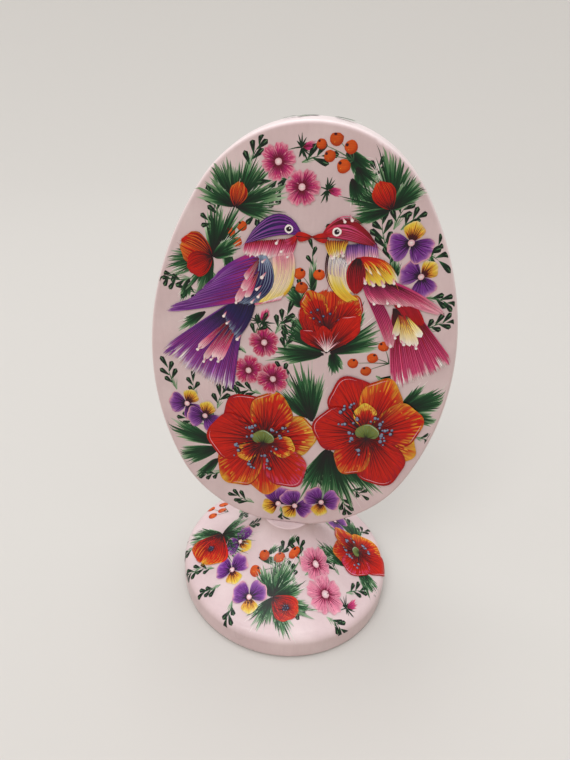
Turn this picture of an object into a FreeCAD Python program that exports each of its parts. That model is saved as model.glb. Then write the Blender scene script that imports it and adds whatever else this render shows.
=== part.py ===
import FreeCAD, Part
import math
import os

import Sketcher

# A painted wooden egg panel that stands upright on a turned wooden foot.
# Frame: millimetres, +Z up, the origin at the centre of the foot's underside,
# the panel's decorated front face looking towards -Y.

SIZES = {
    # the flat panel cut to an egg outline
    "egg_width": 101.0,
    "egg_height": 148.0,
    "egg_bottom_radius": 45.5,
    "egg_top_radius": 38.5,
    "egg_thickness": 12.0,
    "egg_edge_round": 1.2,
    # the turned foot: a disc with a rounded rim, a hollow bell and a short neck
    "foot_diameter": 85.0,
    "foot_height": 33.0,
    "foot_underside_round": 1.5,
    "rim_wall_top": 7.5,
    "rim_shoulder_round": 3.5,
    "bell_radius": 80.0,
    "cove_radius": 8.0,
    "neck_diameter": 19.0,
    "neck_straight_length": 1.0,
    "neck_edge_round": 0.5,
    # the glued peg that joins the two
    "peg_diameter": 6.0,
    "peg_side_clearance": 0.05,
    "peg_end_clearance": 1.0,
    "peg_chamfer": 0.6,
    "foot_bore_depth": 14.0,
    "egg_bore_depth": 15.0,
}

# how Sketcher numbers its axes and an edge's points
H_AXIS = -1
V_AXIS = -2
START, END, CENTRE = 1, 2, 3

# how often the search for the side arcs' height halves its range
HALVINGS = 80

# an edge counts as lying in a face when it strays from it by less than this
FLAT_TOLERANCE = 1e-4

os.makedirs("parts", exist_ok=True)
doc = FreeCAD.newDocument("painted_egg")


def make_sheet():
    """Put every driving size in the spreadsheet, one aliased row each."""
    sheet = doc.addObject("Spreadsheet::Sheet", "sizes")
    for row, (name, value) in enumerate(SIZES.items(), start=1):
        sheet.set(f"A{row}", name)
        sheet.set(f"B{row}", str(value))
        sheet.setAlias(f"B{row}", name)
    doc.recompute()
    return sheet


def size(name):
    """Read one driving size from the spreadsheet as a plain number."""
    return float(getattr(sheet, name))


def new_body(name):
    """Add an empty body whose Label is the node's name."""
    body = doc.addObject("PartDesign::Body", name)
    body.Label = name
    return body


def new_sketch(body, name, plane_role):
    """Add a sketch that lies on one of the body's own origin planes."""
    planes = [feature for feature in body.Origin.OriginFeatures if feature.Role == plane_role]
    sketch = body.newObject("Sketcher::SketchObject", name)
    sketch.AttachmentSupport = (planes[0], [""])
    sketch.MapMode = "FlatFace"
    return sketch


def line(x1, z1, x2, z2):
    """A straight stretch of a profile, in sketch coordinates."""
    return Part.LineSegment(FreeCAD.Vector(x1, z1, 0), FreeCAD.Vector(x2, z2, 0))


def arc(centre, radius, from_angle, to_angle):
    """An arc of a profile that runs anticlockwise between two angles in radians."""
    circle = Part.Circle(FreeCAD.Vector(centre[0], centre[1], 0), FreeCAD.Vector(0, 0, 1), radius)
    return Part.ArcOfCircle(circle, from_angle, to_angle)


def drive(sketch, name, expression, *constraint):
    """Add a dimension and tie it to an expression over the sheet's sizes."""
    number = sketch.addConstraint(Sketcher.Constraint(*constraint))
    sketch.renameConstraint(number, name)
    sketch.setExpression(f"Constraints.{name}", expression)


def relate(sketch, *constraint):
    """Add a constraint that has no size of its own."""
    sketch.addConstraint(Sketcher.Constraint(*constraint))


def circle_sketch(body, name, height_expression, diameter_expression):
    """A circle about the Z axis, at a height above the origin."""
    sketch = new_sketch(body, name, "XY_Plane")
    sketch.setExpression("AttachmentOffset.Base.z", height_expression)
    middle = FreeCAD.Vector(0, 0, 0)
    sketch.addGeometry(Part.Circle(middle, FreeCAD.Vector(0, 0, 1), size("peg_diameter") / 2))
    relate(sketch, "Coincident", 0, CENTRE, H_AXIS, START)
    drive(sketch, "circle_diameter", diameter_expression, "Diameter", 0, size("peg_diameter"))
    doc.recompute()
    return sketch


def peg_bore(body, name, depth_size, upward):
    """Cut the blind hole for the peg, from the joint face into the wood."""
    mouth = circle_sketch(
        body,
        name + "_circle",
        "sizes.foot_height",
        "sizes.peg_diameter + 2 * sizes.peg_side_clearance",
    )
    before = body.Shape.Volume
    bore = body.newObject("PartDesign::Pocket", name)
    bore.Profile = mouth
    bore.Reversed = upward
    bore.setExpression("Length", f"sizes.{depth_size}")
    doc.recompute()
    if body.Shape.Volume >= before:
        raise RuntimeError(f"{name} cuts nothing")


def egg_arcs():
    """Work out the egg's arc centres and where neighbouring arcs touch.

    The bottom and top arcs are centred on the axis. Each side arc is tangent to
    both and reaches the full width at the height of its own centre, which the
    two tangency conditions fix.
    """
    half_width = size("egg_width") / 2
    bottom_radius = size("egg_bottom_radius")
    top_radius = size("egg_top_radius")
    half_flat = size("neck_diameter") / 2
    bottom_z = size("foot_height") + math.sqrt(bottom_radius**2 - half_flat**2)
    top_z = bottom_z - bottom_radius + size("egg_height") - top_radius

    def side_radius(centre_z, end_radius, end_z):
        rise = centre_z - end_z
        return (half_width**2 + rise**2 - end_radius**2) / (2 * (half_width - end_radius))

    low, high = bottom_z, top_z
    for _ in range(HALVINGS):
        side_z = (low + high) / 2
        from_bottom = side_radius(side_z, bottom_radius, bottom_z)
        from_top = side_radius(side_z, top_radius, top_z)
        if from_bottom < from_top:
            low = side_z
        else:
            high = side_z
    radius = side_radius(side_z, bottom_radius, bottom_z)
    reach = radius - half_width
    return {
        "bottom_z": bottom_z,
        "top_z": top_z,
        "side_z": side_z,
        "side_radius": radius,
        "reach": reach,
        "flat_angle": math.atan2(size("foot_height") - bottom_z, half_flat),
        "bottom_angle": math.atan2(bottom_z - side_z, reach),
        "top_angle": math.atan2(top_z - side_z, reach),
    }


def make_egg_panel():
    """The flat wooden egg: its outline padded to thickness, edges rounded all round."""
    body = new_body("egg_panel")
    egg = egg_arcs()
    outline = new_sketch(body, "egg_outline", "XZ_Plane")
    half_flat = size("neck_diameter") / 2
    seat_z = size("foot_height")
    bottom = (0, egg["bottom_z"])
    top = (0, egg["top_z"])
    right_side = (-egg["reach"], egg["side_z"])
    left_side = (egg["reach"], egg["side_z"])
    bottom_radius = size("egg_bottom_radius")
    top_radius = size("egg_top_radius")
    side_radius = egg["side_radius"]
    low, high = egg["bottom_angle"], egg["top_angle"]
    seat, bottom_right, right, top_end, left, bottom_left, width_line = range(7)
    outline.addGeometry(
        [
            line(-half_flat, seat_z, half_flat, seat_z),
            arc(bottom, bottom_radius, egg["flat_angle"], low),
            arc(right_side, side_radius, low, high),
            arc(top, top_radius, high, math.pi - high),
            arc(left_side, side_radius, math.pi - high, math.pi - low),
            arc(bottom, bottom_radius, math.pi - low, math.pi - egg["flat_angle"]),
        ]
    )
    outline.addGeometry(line(*right_side, size("egg_width") / 2, egg["side_z"]), True)

    relate(outline, "Coincident", seat, END, bottom_right, START)
    relate(outline, "Tangent", bottom_right, END, right, START)
    relate(outline, "Tangent", right, END, top_end, START)
    relate(outline, "Tangent", top_end, END, left, START)
    relate(outline, "Tangent", left, END, bottom_left, START)
    relate(outline, "Coincident", bottom_left, END, seat, START)
    relate(outline, "Coincident", bottom_right, CENTRE, bottom_left, CENTRE)
    relate(outline, "PointOnObject", bottom_right, CENTRE, V_AXIS)
    relate(outline, "PointOnObject", top_end, CENTRE, V_AXIS)
    relate(outline, "Equal", bottom_right, bottom_left)
    relate(outline, "Equal", right, left)
    relate(outline, "Horizontal", seat)
    relate(outline, "Coincident", width_line, START, right, CENTRE)
    relate(outline, "Horizontal", width_line)
    relate(outline, "PointOnObject", width_line, END, right)
    drive(
        outline, "bottom_arc", "sizes.egg_bottom_radius", "Radius", bottom_right, bottom_radius
    )
    drive(outline, "top_arc", "sizes.egg_top_radius", "Radius", top_end, top_radius)
    drive(
        outline, "seat_level", "sizes.foot_height",
        "DistanceY", H_AXIS, START, seat, START, seat_z,
    )
    drive(
        outline, "seat_width", "sizes.neck_diameter",
        "DistanceX", seat, START, seat, END, 2 * half_flat,
    )
    drive(
        outline, "centre_rise",
        "sizes.egg_height - sizes.egg_bottom_radius - sizes.egg_top_radius",
        "DistanceY", bottom_right, CENTRE, top_end, CENTRE, top[1] - bottom[1],
    )
    drive(
        outline, "half_width", "sizes.egg_width / 2",
        "DistanceX", H_AXIS, START, width_line, END, size("egg_width") / 2,
    )
    doc.recompute()

    slab = body.newObject("PartDesign::Pad", "egg_slab")
    slab.Profile = outline
    slab.Midplane = True
    slab.setExpression("Length", "sizes.egg_thickness")
    doc.recompute()

    rounding = body.newObject("PartDesign::Fillet", "egg_rounding")
    rounding.Base = (slab, face_outline_edges(slab.Shape, size("egg_thickness") / 2))
    rounding.setExpression("Radius", "sizes.egg_edge_round")
    doc.recompute()
    peg_bore(body, "egg_bore", "egg_bore_depth", True)
    return body


def face_outline_edges(shape, half_thickness):
    """Name the edges that run round the front and back faces."""
    names = []
    for number, edge in enumerate(shape.Edges, start=1):
        box = edge.BoundBox
        in_face = box.YLength < FLAT_TOLERANCE
        if in_face and math.isclose(abs(box.Center.y), half_thickness, abs_tol=FLAT_TOLERANCE):
            names.append(f"Edge{number}")
    return names


def bell_centre():
    """Where the bell's arc is centred: outside, tangent to shoulder and cove."""
    shoulder = FreeCAD.Vector(
        size("foot_diameter") / 2 - size("rim_shoulder_round"), size("rim_wall_top"), 0
    )
    cove = FreeCAD.Vector(
        size("neck_diameter") / 2 + size("cove_radius"),
        size("foot_height") - size("neck_straight_length"),
        0,
    )
    from_shoulder = size("bell_radius") + size("rim_shoulder_round")
    from_cove = size("bell_radius") - size("cove_radius")
    between = cove - shoulder
    distance = between.Length
    along = (distance**2 + from_shoulder**2 - from_cove**2) / (2 * distance)
    across = math.sqrt(from_shoulder**2 - along**2)
    direction = between / distance
    outward = FreeCAD.Vector(direction.y, -direction.x, 0)
    return shoulder, cove, shoulder + direction * along + outward * across


def make_foot():
    """The turned foot: one profile revolved about the axis, bored for the peg."""
    body = new_body("foot")
    profile = new_sketch(body, "foot_profile", "XZ_Plane")
    radius = size("foot_diameter") / 2
    underside = size("foot_underside_round")
    shoulder_round = size("rim_shoulder_round")
    wall_top = size("rim_wall_top")
    neck = size("neck_diameter") / 2
    neck_round = size("neck_edge_round")
    cove_round = size("cove_radius")
    height = size("foot_height")
    shoulder, cove, bell = bell_centre()
    to_bell = bell - shoulder
    to_cove = cove - bell
    rim_angle = math.atan2(to_bell.y, to_bell.x)
    cove_angle = math.atan2(to_cove.y, to_cove.x) % (2 * math.pi)
    base, heel, wall, rim, hollow, cove_arc, neck_wall, neck_edge, seat, axis = range(10)
    profile.addGeometry(
        [
            line(0, 0, radius - underside, 0),
            arc((radius - underside, underside), underside, -math.pi / 2, 0),
            line(radius, underside, radius, wall_top),
            arc((shoulder.x, shoulder.y), shoulder_round, 0, rim_angle),
            arc((bell.x, bell.y), size("bell_radius"), cove_angle, rim_angle + math.pi),
            arc((cove.x, cove.y), cove_round, math.pi, cove_angle),
            line(neck, cove.y, neck, height - neck_round),
            arc((neck - neck_round, height - neck_round), neck_round, 0, math.pi / 2),
            line(neck - neck_round, height, 0, height),
            line(0, height, 0, 0),
        ]
    )
    relate(profile, "Coincident", base, START, H_AXIS, START)
    relate(profile, "Horizontal", base)
    relate(profile, "Tangent", base, END, heel, START)
    relate(profile, "Tangent", heel, END, wall, START)
    relate(profile, "Vertical", wall)
    relate(profile, "Tangent", wall, END, rim, START)
    relate(profile, "Tangent", rim, END, hollow, END)
    relate(profile, "Tangent", hollow, START, cove_arc, END)
    relate(profile, "Tangent", cove_arc, START, neck_wall, START)
    relate(profile, "Vertical", neck_wall)
    relate(profile, "Tangent", neck_wall, END, neck_edge, START)
    relate(profile, "Tangent", neck_edge, END, seat, START)
    relate(profile, "Horizontal", seat)
    relate(profile, "Coincident", seat, END, axis, START)
    relate(profile, "Coincident", axis, END, base, START)
    relate(profile, "Vertical", axis)
    drive(
        profile, "outer_radius", "sizes.foot_diameter / 2",
        "DistanceX", H_AXIS, START, wall, START, radius,
    )
    drive(profile, "underside_round", "sizes.foot_underside_round", "Radius", heel, underside)
    drive(
        profile, "wall_top", "sizes.rim_wall_top",
        "DistanceY", H_AXIS, START, wall, END, wall_top,
    )
    drive(profile, "shoulder_round", "sizes.rim_shoulder_round", "Radius", rim, shoulder_round)
    drive(profile, "bell_arc", "sizes.bell_radius", "Radius", hollow, size("bell_radius"))
    drive(profile, "cove_arc", "sizes.cove_radius", "Radius", cove_arc, cove_round)
    drive(
        profile, "neck_straight", "sizes.neck_straight_length",
        "DistanceY", neck_wall, START, seat, START, size("neck_straight_length"),
    )
    drive(
        profile, "neck_radius", "sizes.neck_diameter / 2",
        "DistanceX", H_AXIS, START, neck_wall, START, neck,
    )
    drive(profile, "neck_round", "sizes.neck_edge_round", "Radius", neck_edge, neck_round)
    drive(
        profile, "seat_level", "sizes.foot_height",
        "DistanceY", axis, END, axis, START, height,
    )
    doc.recompute()

    turning = body.newObject("PartDesign::Revolution", "foot_turning")
    turning.Profile = profile
    turning.ReferenceAxis = (profile, ["V_Axis"])
    turning.Angle = 360.0
    doc.recompute()
    peg_bore(body, "foot_bore", "foot_bore_depth", False)
    return body


def make_peg():
    """The hidden wooden peg: it stands on its bore's floor in the foot."""
    body = new_body("peg")
    section = circle_sketch(
        body, "peg_circle", "sizes.foot_height - sizes.foot_bore_depth", "sizes.peg_diameter"
    )
    stick = body.newObject("PartDesign::Pad", "peg_stick")
    stick.Profile = section
    stick.setExpression(
        "Length", "sizes.foot_bore_depth + sizes.egg_bore_depth - sizes.peg_end_clearance"
    )
    doc.recompute()
    rims = [
        f"Edge{number}"
        for number, edge in enumerate(stick.Shape.Edges, start=1)
        if isinstance(edge.Curve, Part.Circle)
    ]
    ends = body.newObject("PartDesign::Chamfer", "peg_ends")
    ends.Base = (stick, rims)
    ends.setExpression("Size", "sizes.peg_chamfer")
    doc.recompute()
    return body


def check_document(bodies):
    """Stop before anything is written if a feature or a solid has failed."""
    for item in doc.Objects:
        if "Invalid" in item.State or "Error" in item.State:
            raise RuntimeError(f"{item.Name} failed: {item.State}")
        if item.isDerivedFrom("Sketcher::SketchObject") and not item.FullyConstrained:
            raise RuntimeError(f"{item.Name} is not fully constrained")
    for body in bodies:
        if body.Shape.isNull() or not body.Shape.isValid():
            raise RuntimeError(f"{body.Label} has no valid shape")
        if len(body.Shape.Solids) != 1:
            raise RuntimeError(f"{body.Label} is not one solid")


sheet = make_sheet()
parts = [make_egg_panel(), make_foot(), make_peg()]
doc.recompute()
check_document(parts)
for part in parts:
    part.Shape.exportStep(f"parts/{part.Label}.step")
    box = part.Shape.optimalBoundingBox(True, False)
    print(
        f"{part.Label}: {box.XLength:.2f} x {box.YLength:.2f} x {box.ZLength:.2f} mm, "
        f"z {box.ZMin:.2f} to {box.ZMax:.2f}, volume {part.Shape.Volume:.1f}"
    )
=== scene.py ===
"""A painted wooden egg panel on a turned foot: its folk painting, varnish and studio.

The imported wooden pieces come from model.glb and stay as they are. This script
lays the painter's brushwork on them as thin films of paint, dresses the ground
paint, and sets the camera and lights. Lengths in the painting are millimetres
on the surface, as seen from outside: `a` to the right and `b` upwards.
"""

import logging
import math
from dataclasses import dataclass, field
from enum import Enum
from typing import Optional, Sequence

import bpy
import numpy as np
from mathutils import Matrix, Vector


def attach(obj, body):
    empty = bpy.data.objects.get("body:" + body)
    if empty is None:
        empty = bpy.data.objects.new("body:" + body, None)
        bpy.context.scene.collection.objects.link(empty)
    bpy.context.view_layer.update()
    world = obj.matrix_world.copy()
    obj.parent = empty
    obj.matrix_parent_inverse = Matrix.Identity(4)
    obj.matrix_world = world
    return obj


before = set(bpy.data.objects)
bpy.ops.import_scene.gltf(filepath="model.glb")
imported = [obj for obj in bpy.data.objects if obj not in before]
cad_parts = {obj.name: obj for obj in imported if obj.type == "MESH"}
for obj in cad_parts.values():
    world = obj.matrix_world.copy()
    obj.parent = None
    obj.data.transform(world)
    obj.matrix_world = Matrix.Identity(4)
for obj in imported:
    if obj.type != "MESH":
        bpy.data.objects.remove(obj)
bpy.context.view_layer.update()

MM = 0.001
FRONT_TALL = 1.12
LOG = logging.getLogger("painted_egg")

Array = np.ndarray
Thing = bpy.types.Object
Material = bpy.types.Material
Tree = bpy.types.NodeTree
Socket = bpy.types.NodeSocket


class Pigment(Enum):
    """The painter's colours, as display values."""

    GROUND = "d9c3c6"
    MILK = "ebdcdd"
    WHITE = "f6f0ee"
    PALE_PINK = "e6a9b8"
    CREAM = "ecd9a8"
    LEMON = "e8cf4a"
    YOLK = "dfa52e"
    AMBER = "d88a34"
    ORANGE = "d5561a"
    BERRY = "cf5212"
    RUST = "b53a0c"
    SCARLET = "c81c0c"
    POPPY = "a60c06"
    CRIMSON = "9c0f22"
    MAROON = "5a0a10"
    SOOT = "1d0f14"
    ROSE = "cf4a7a"
    CERISE = "b82650"
    BLUSH = "dc7f9c"
    FUCHSIA = "b4246a"
    MAGENTA = "8d1c52"
    LILAC = "9c64b0"
    VIOLET = "6e2a88"
    PLUM = "3f1458"
    NAVY = "231a4e"
    SLATE = "8496b0"
    MINT = "a9bfa6"
    SAGE = "6d9068"
    GREEN = "245c33"
    FIR = "103a1e"
    PINE = "081d10"
    OLIVE = "7c8744"
    MOSS = "5f7030"

    @property
    def light(self) -> Array:
        """The colour as linear light."""
        value = np.array([int(self.value[i : i + 2], 16) for i in (0, 2, 4)]) / 255.0
        return np.where(value <= 0.04045, value / 12.92, ((value + 0.055) / 1.055) ** 2.4)


# The colours are named so often that they go by one letter from here on.
P = Pigment

Blend = Sequence[tuple[float, Pigment]]


def shade(blend: Blend, along: Array) -> Array:
    """Read a run of colours at many places.

    Args:
        blend: pairs of a place from 0 to 1 and its colour, in rising order.
        along: the places to read, any shape.

    Returns:
        One linear colour for each place, straight lines between the pairs.
    """
    places = [place for place, _ in blend]
    lights = np.array([pigment.light for _, pigment in blend])
    return np.stack([np.interp(along, places, lights[:, i]) for i in range(3)], axis=-1)


def even(*pigments: Pigment) -> Blend:
    """Two or three colours spaced evenly along a mark, from 0 to 1."""
    return tuple((place / (len(pigments) - 1), pigment) for place, pigment in enumerate(pigments))


def compass(degrees: Array | float) -> Array:
    """The unit vector at an angle: 0 is to the right, 90 is up."""
    radians = np.radians(degrees)
    return np.stack([np.cos(radians), np.sin(radians)], axis=-1)


class Touch(Enum):
    """How wide a brush mark is along its length, from 0 to 1."""

    LEAF = "leaf"
    DROP = "drop"
    HAIR = "hair"
    FLAT = "flat"
    COMMA = "comma"

    def width(self, along: Array) -> Array:
        """The mark's relative width at places from its start to its end.

        Args:
            along: places from 0 to 1.

        Returns:
            A width for each place.
        """
        if self is Touch.LEAF:
            return np.sin(np.pi * along**0.75) ** 0.8 * 0.98 + 0.02
        if self is Touch.DROP:
            return along**0.9 * np.sqrt(np.clip(1.0 - along**7, 0.0, 1.0)) * 1.05 + 0.03
        if self is Touch.HAIR:
            return (1.0 - along) ** 0.6 * 0.94 + 0.06
        if self is Touch.COMMA:
            return np.sqrt(np.clip(1.0 - (1.0 - along) ** 6, 0, 1)) * (1.0 - along**1.8) + 0.02
        return np.clip(1.0 - (2.0 * along - 1.0) ** 8, 0.0, 1.0) ** 0.5 * 0.95 + 0.05


class Side(Enum):
    """The two broad faces of the panel."""

    FRONT = -1
    BACK = 1


class Surface:
    """Somewhere paint is laid. Subclasses turn places on it into space."""

    clearance = 0.0

    def place(self, spot: Array, offset: Array, lift: Array) -> Array:
        """Put offsets from a spot on the surface, raised by lift, into metres.

        Args:
            spot: the motif's own place.
            offset: places about it, any shape x 2.
            lift: how far above the surface.

        Returns:
            Points in metres.
        """
        raise NotImplementedError


@dataclass(frozen=True)
class PanelFace(Surface):
    """One flat face of the egg panel; `a` is across and `b` the height."""

    side: Side
    depth: float
    turns: Array
    reaches: Array
    centre: float = 100.0
    edge: float = 1.4
    taper: float = 0.03
    clearance: float = 0.012

    def place(self, spot: Array, offset: Array, lift: Array) -> Array:
        """Lay the flat sheet on the face: across, a constant depth, and up.

        Paint that would run over the edge is drawn in: beyond 97% of the way
        from the face's middle to its border it closes up towards the border.
        """
        flat = spot + offset
        away = flat - np.array([0.0, self.centre])
        far = np.hypot(away[..., 0], away[..., 1])
        limit = np.interp(np.arctan2(away[..., 1], np.abs(away[..., 0])), self.turns, self.reaches)
        limit = limit - self.edge
        room = limit * self.taper
        over = np.maximum(far - limit + room, 0.0)
        drawn = np.where(over > 0, limit - room * np.exp(-over / room), far)
        flat = away * (drawn / np.maximum(far, 1e-6))[..., None] + np.array([0.0, self.centre])
        out = self.depth + (lift + self.clearance) * MM
        across = flat[..., 0] * MM * -self.side.value
        return np.stack([across, out * self.side.value, flat[..., 1] * MM], axis=-1)


@dataclass(frozen=True)
class PanelRim(Surface):
    """The panel's edge; a spot is a direction in degrees and a depth in mm.

    The sheet is wrapped across as on a circle whose radius is bend.
    """

    turns: Array
    reaches: Array
    centre: float = 100.0
    bend: float = 80.0
    clearance: float = 0.12

    def place(self, spot: Array, offset: Array, lift: Array) -> Array:
        """Bend the sheet round the edge: across follows it, up is towards the back."""
        turn = np.radians(spot[0]) - offset[..., 0] / self.bend
        side = np.arctan2(np.sin(turn), np.abs(np.cos(turn)))
        far = np.interp(side, self.turns, self.reaches) + lift + self.clearance
        depth = spot[1] + offset[..., 1]
        return np.stack([far * np.cos(turn), depth, self.centre + far * np.sin(turn)], axis=-1) * MM


@dataclass(frozen=True)
class FootSkin(Surface):
    """The turned foot's upper skin; a spot is an azimuth and a radius."""

    radii: Array
    heights: Array
    clearance: float = 0.07

    @property
    def arc(self) -> Array:
        """The length along the profile from the rim to each of its points."""
        steps = np.hypot(np.diff(self.radii), np.diff(self.heights))
        return np.concatenate([[0.0], np.cumsum(steps)])

    def place(self, spot: Array, offset: Array, lift: Array) -> Array:
        """Wrap the sheet round the axis: up is along the profile, across is round it."""
        arc = self.arc
        start = np.interp(-spot[1], -self.radii, arc)
        along = np.clip(start + offset[..., 1], arc[0], arc[-1])
        radius = np.interp(along, arc, self.radii)
        height = np.interp(along, arc, self.heights)
        turn = np.radians(spot[0]) + offset[..., 0] / radius
        slope_r = np.interp(along, arc, np.gradient(self.radii, arc))
        slope_z = np.interp(along, arc, np.gradient(self.heights, arc))
        raised = lift + self.clearance
        radius = radius + raised * slope_z
        height = height - raised * slope_r
        return np.stack([radius * np.sin(turn), -radius * np.cos(turn), height], axis=-1) * MM


@dataclass(frozen=True)
class Spot:
    """Where a motif goes, and how it is turned and sized."""

    a: float
    b: float
    turn: float = 0.0
    size: float = 1.0
    tall: float = FRONT_TALL
    flip: bool = False
    layer: int = 0

    @property
    def matrix(self) -> Array:
        """Scale, mirror and turn, then stretch upwards.

        Returns:
            A 2 x 2 matrix for places about the spot.
        """
        cos, sin = math.cos(math.radians(self.turn)), math.sin(math.radians(self.turn))
        mirror = np.diag([-1.0 if self.flip else 1.0, 1.0])
        stretch = np.diag([1.0, self.tall])
        return self.size * stretch @ np.array([[cos, -sin], [sin, cos]]) @ mirror


@dataclass(frozen=True)
class Petal:
    """A rounded petal in polar form about its base point.

    A place on it has `out` from 0 at the base to 1 at the edge, and `side` from
    -1 to 1 across. Its direction is turn + spread x side, and its distance is
    reach x out x (1 - |side|^power)^(1/power), rippled along the edge.
    """

    a: float
    b: float
    turn: float
    reach: float
    spread: float
    power: float = 2.6
    ripple: float = 0.0
    waves: float = 3.0
    skew: float = 0.0

    def at(self, out: Array, side: Array) -> Array:
        """The flat places for whole arrays of out and side.

        Args:
            out: shares of the way to the edge.
            side: places across, from -1 to 1.

        Returns:
            Places about the spot, the same shape x 2.
        """
        edge = (1.0 - np.clip(np.abs(side), 0, 1) ** self.power) ** (1.0 / self.power)
        edge = edge * (1.0 + self.ripple * np.cos(np.pi * self.waves * side + self.skew))
        distance = self.reach * edge * out
        angle = self.turn + self.spread * side + self.skew * 6.0 * out * (1 - np.abs(side))
        return np.array([self.a, self.b]) + compass(angle) * distance[..., None]


class Brushwork:
    """Brush marks laid one over another on a surface, as whole arrays.

    Each mark of a call lies a STEP above the one before, for STEPS marks and
    then again from the bottom. Each call lies a CALL higher, each layer a LAYER
    higher. A mark swells by a BEAD in its middle, and a dot by three. All are in
    millimetres.
    """

    STEP = 0.0012
    STEPS = 5
    CALL = 0.0065
    LAYER = 0.07
    BEAD = 0.004

    def __init__(self, surface: Surface, seed: int) -> None:
        """Start an empty sheet of marks.

        Args:
            surface: what the marks lie on.
            seed: the start of this sheet's own random draws.
        """
        self.surface = surface
        self.rng = np.random.default_rng(seed)
        self.spot = Spot(0.0, 0.0)
        self.level = 0.0
        self.count = 0
        self.parts: list[tuple[Array, Array, Array, Array]] = []

    def move_to(self, spot: Spot) -> None:
        """Lay the marks that follow about another spot, at the bottom of its layer."""
        self.spot = spot
        self.level = spot.layer * self.LAYER

    def add_grid(self, flat: Array, colour: Array, stroke: Array, bead: Array) -> None:
        """Lay many small grids of paint at once.

        Args:
            flat: marks x rows x columns x 2, places about the spot.
            colour: marks x rows x columns x 3, linear colours.
            stroke: marks x rows x columns x 2, millimetres along and across the hairs.
            bead: rows x columns, how much of a bead's height each place has.
        """
        marks, rows, columns, _ = flat.shape
        offset = flat @ self.spot.matrix.T
        side = offset[:, :-1, 1:] - offset[:, :-1, :-1]
        down = offset[:, 1:, :-1] - offset[:, :-1, :-1]
        area = (side[..., 0] * down[..., 1] - side[..., 1] * down[..., 0]).sum(axis=(1, 2))
        turned = np.where(area < 0)[0]
        for sheet in (offset, colour, stroke):
            sheet[turned] = sheet[turned][:, :, ::-1]
        stack = (np.arange(marks) % self.STEPS) * self.STEP + self.level
        lift = stack[:, None, None] + bead[None] * self.BEAD
        points = self.surface.place(np.array([self.spot.a, self.spot.b]), offset, lift)
        index = np.arange(marks * rows * columns).reshape(marks, rows, columns) + self.count
        quads = np.stack(
            [index[:, :-1, :-1], index[:, :-1, 1:], index[:, 1:, 1:], index[:, 1:, :-1]], axis=-1
        )
        self.parts.append(
            (points.reshape(-1, 3), colour.reshape(-1, 3), stroke.reshape(-1, 2), quads.reshape(-1, 4))
        )
        self.count += marks * rows * columns
        self.level += self.CALL

    def trail(self, lines: Array, half: Array, colour: Array) -> None:
        """Sweep a brush along centre lines.

        Args:
            lines: marks x rows x 2, the centre lines.
            half: marks x rows, half of the width.
            colour: marks x rows x 3.
        """
        step = np.gradient(lines, axis=1)
        length = np.maximum(np.linalg.norm(step, axis=-1, keepdims=True), 1e-9)
        across = np.stack([-step[..., 1], step[..., 0]], axis=-1) / length
        side = np.array([-1.0, 0.0, 1.0])
        flat = lines[:, :, None] + across[:, :, None] * (half[..., None] * side)[..., None]
        marks, rows = half.shape
        travelled = np.cumsum(length[..., 0], axis=1)
        start = self.rng.uniform(0.0, 90.0, (marks, 2))
        stroke = np.stack(
            [
                np.broadcast_to(travelled[..., None], (marks, rows, 3)) + start[:, None, None, 0],
                half[..., None] * side + start[:, None, None, 1],
            ],
            axis=-1,
        )
        bead = np.broadcast_to(1.0 - np.abs(side), (rows, 3))
        shades = np.repeat(colour[:, :, None], 3, axis=2)
        self.add_grid(flat, shades, stroke, bead)

    def strokes(
        self, start: Array, bend: Array, end: Array, width: Array | float, blend: Blend,
        touch: Touch = Touch.LEAF, rows: int = 8, vary: float = 0.10, shift: float = 0.0
    ) -> None:
        """Lay curved brush marks: each follows (1-t)^2 start + 2t(1-t) bend + t^2 end.

        Args:
            start: marks x 2, where the marks begin.
            bend: marks x 2, the points that pull them aside.
            end: marks x 2, where they end.
            width: the widest part, one for all or one each.
            blend: the colours along the marks.
            touch: how the width changes along them.
            rows: the points along each mark.
            vary: how much the marks differ from each other in lightness.
            shift: how much they differ in where their colours come.
        """
        start, bend, end = (np.atleast_2d(np.asarray(v, float)) for v in (start, bend, end))
        start, bend, end = np.broadcast_arrays(start, bend, end)
        marks = len(start)
        along = np.linspace(0.0, 1.0, rows)[None, :, None]
        lines = (
            (1 - along) ** 2 * start[:, None]
            + 2 * along * (1 - along) * bend[:, None]
            + along**2 * end[:, None]
        )
        half = np.broadcast_to(np.asarray(width, float) / 2, (marks,))[:, None]
        half = half * touch.width(along[..., 0])
        moved = along[..., 0] + self.rng.normal(0.0, shift, (marks, 1))
        colour = shade(blend, moved) * np.exp(self.rng.normal(0.0, vary, (marks, 1, 1)))
        self.trail(lines, half, np.clip(colour, 0.0, 1.0))

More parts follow.
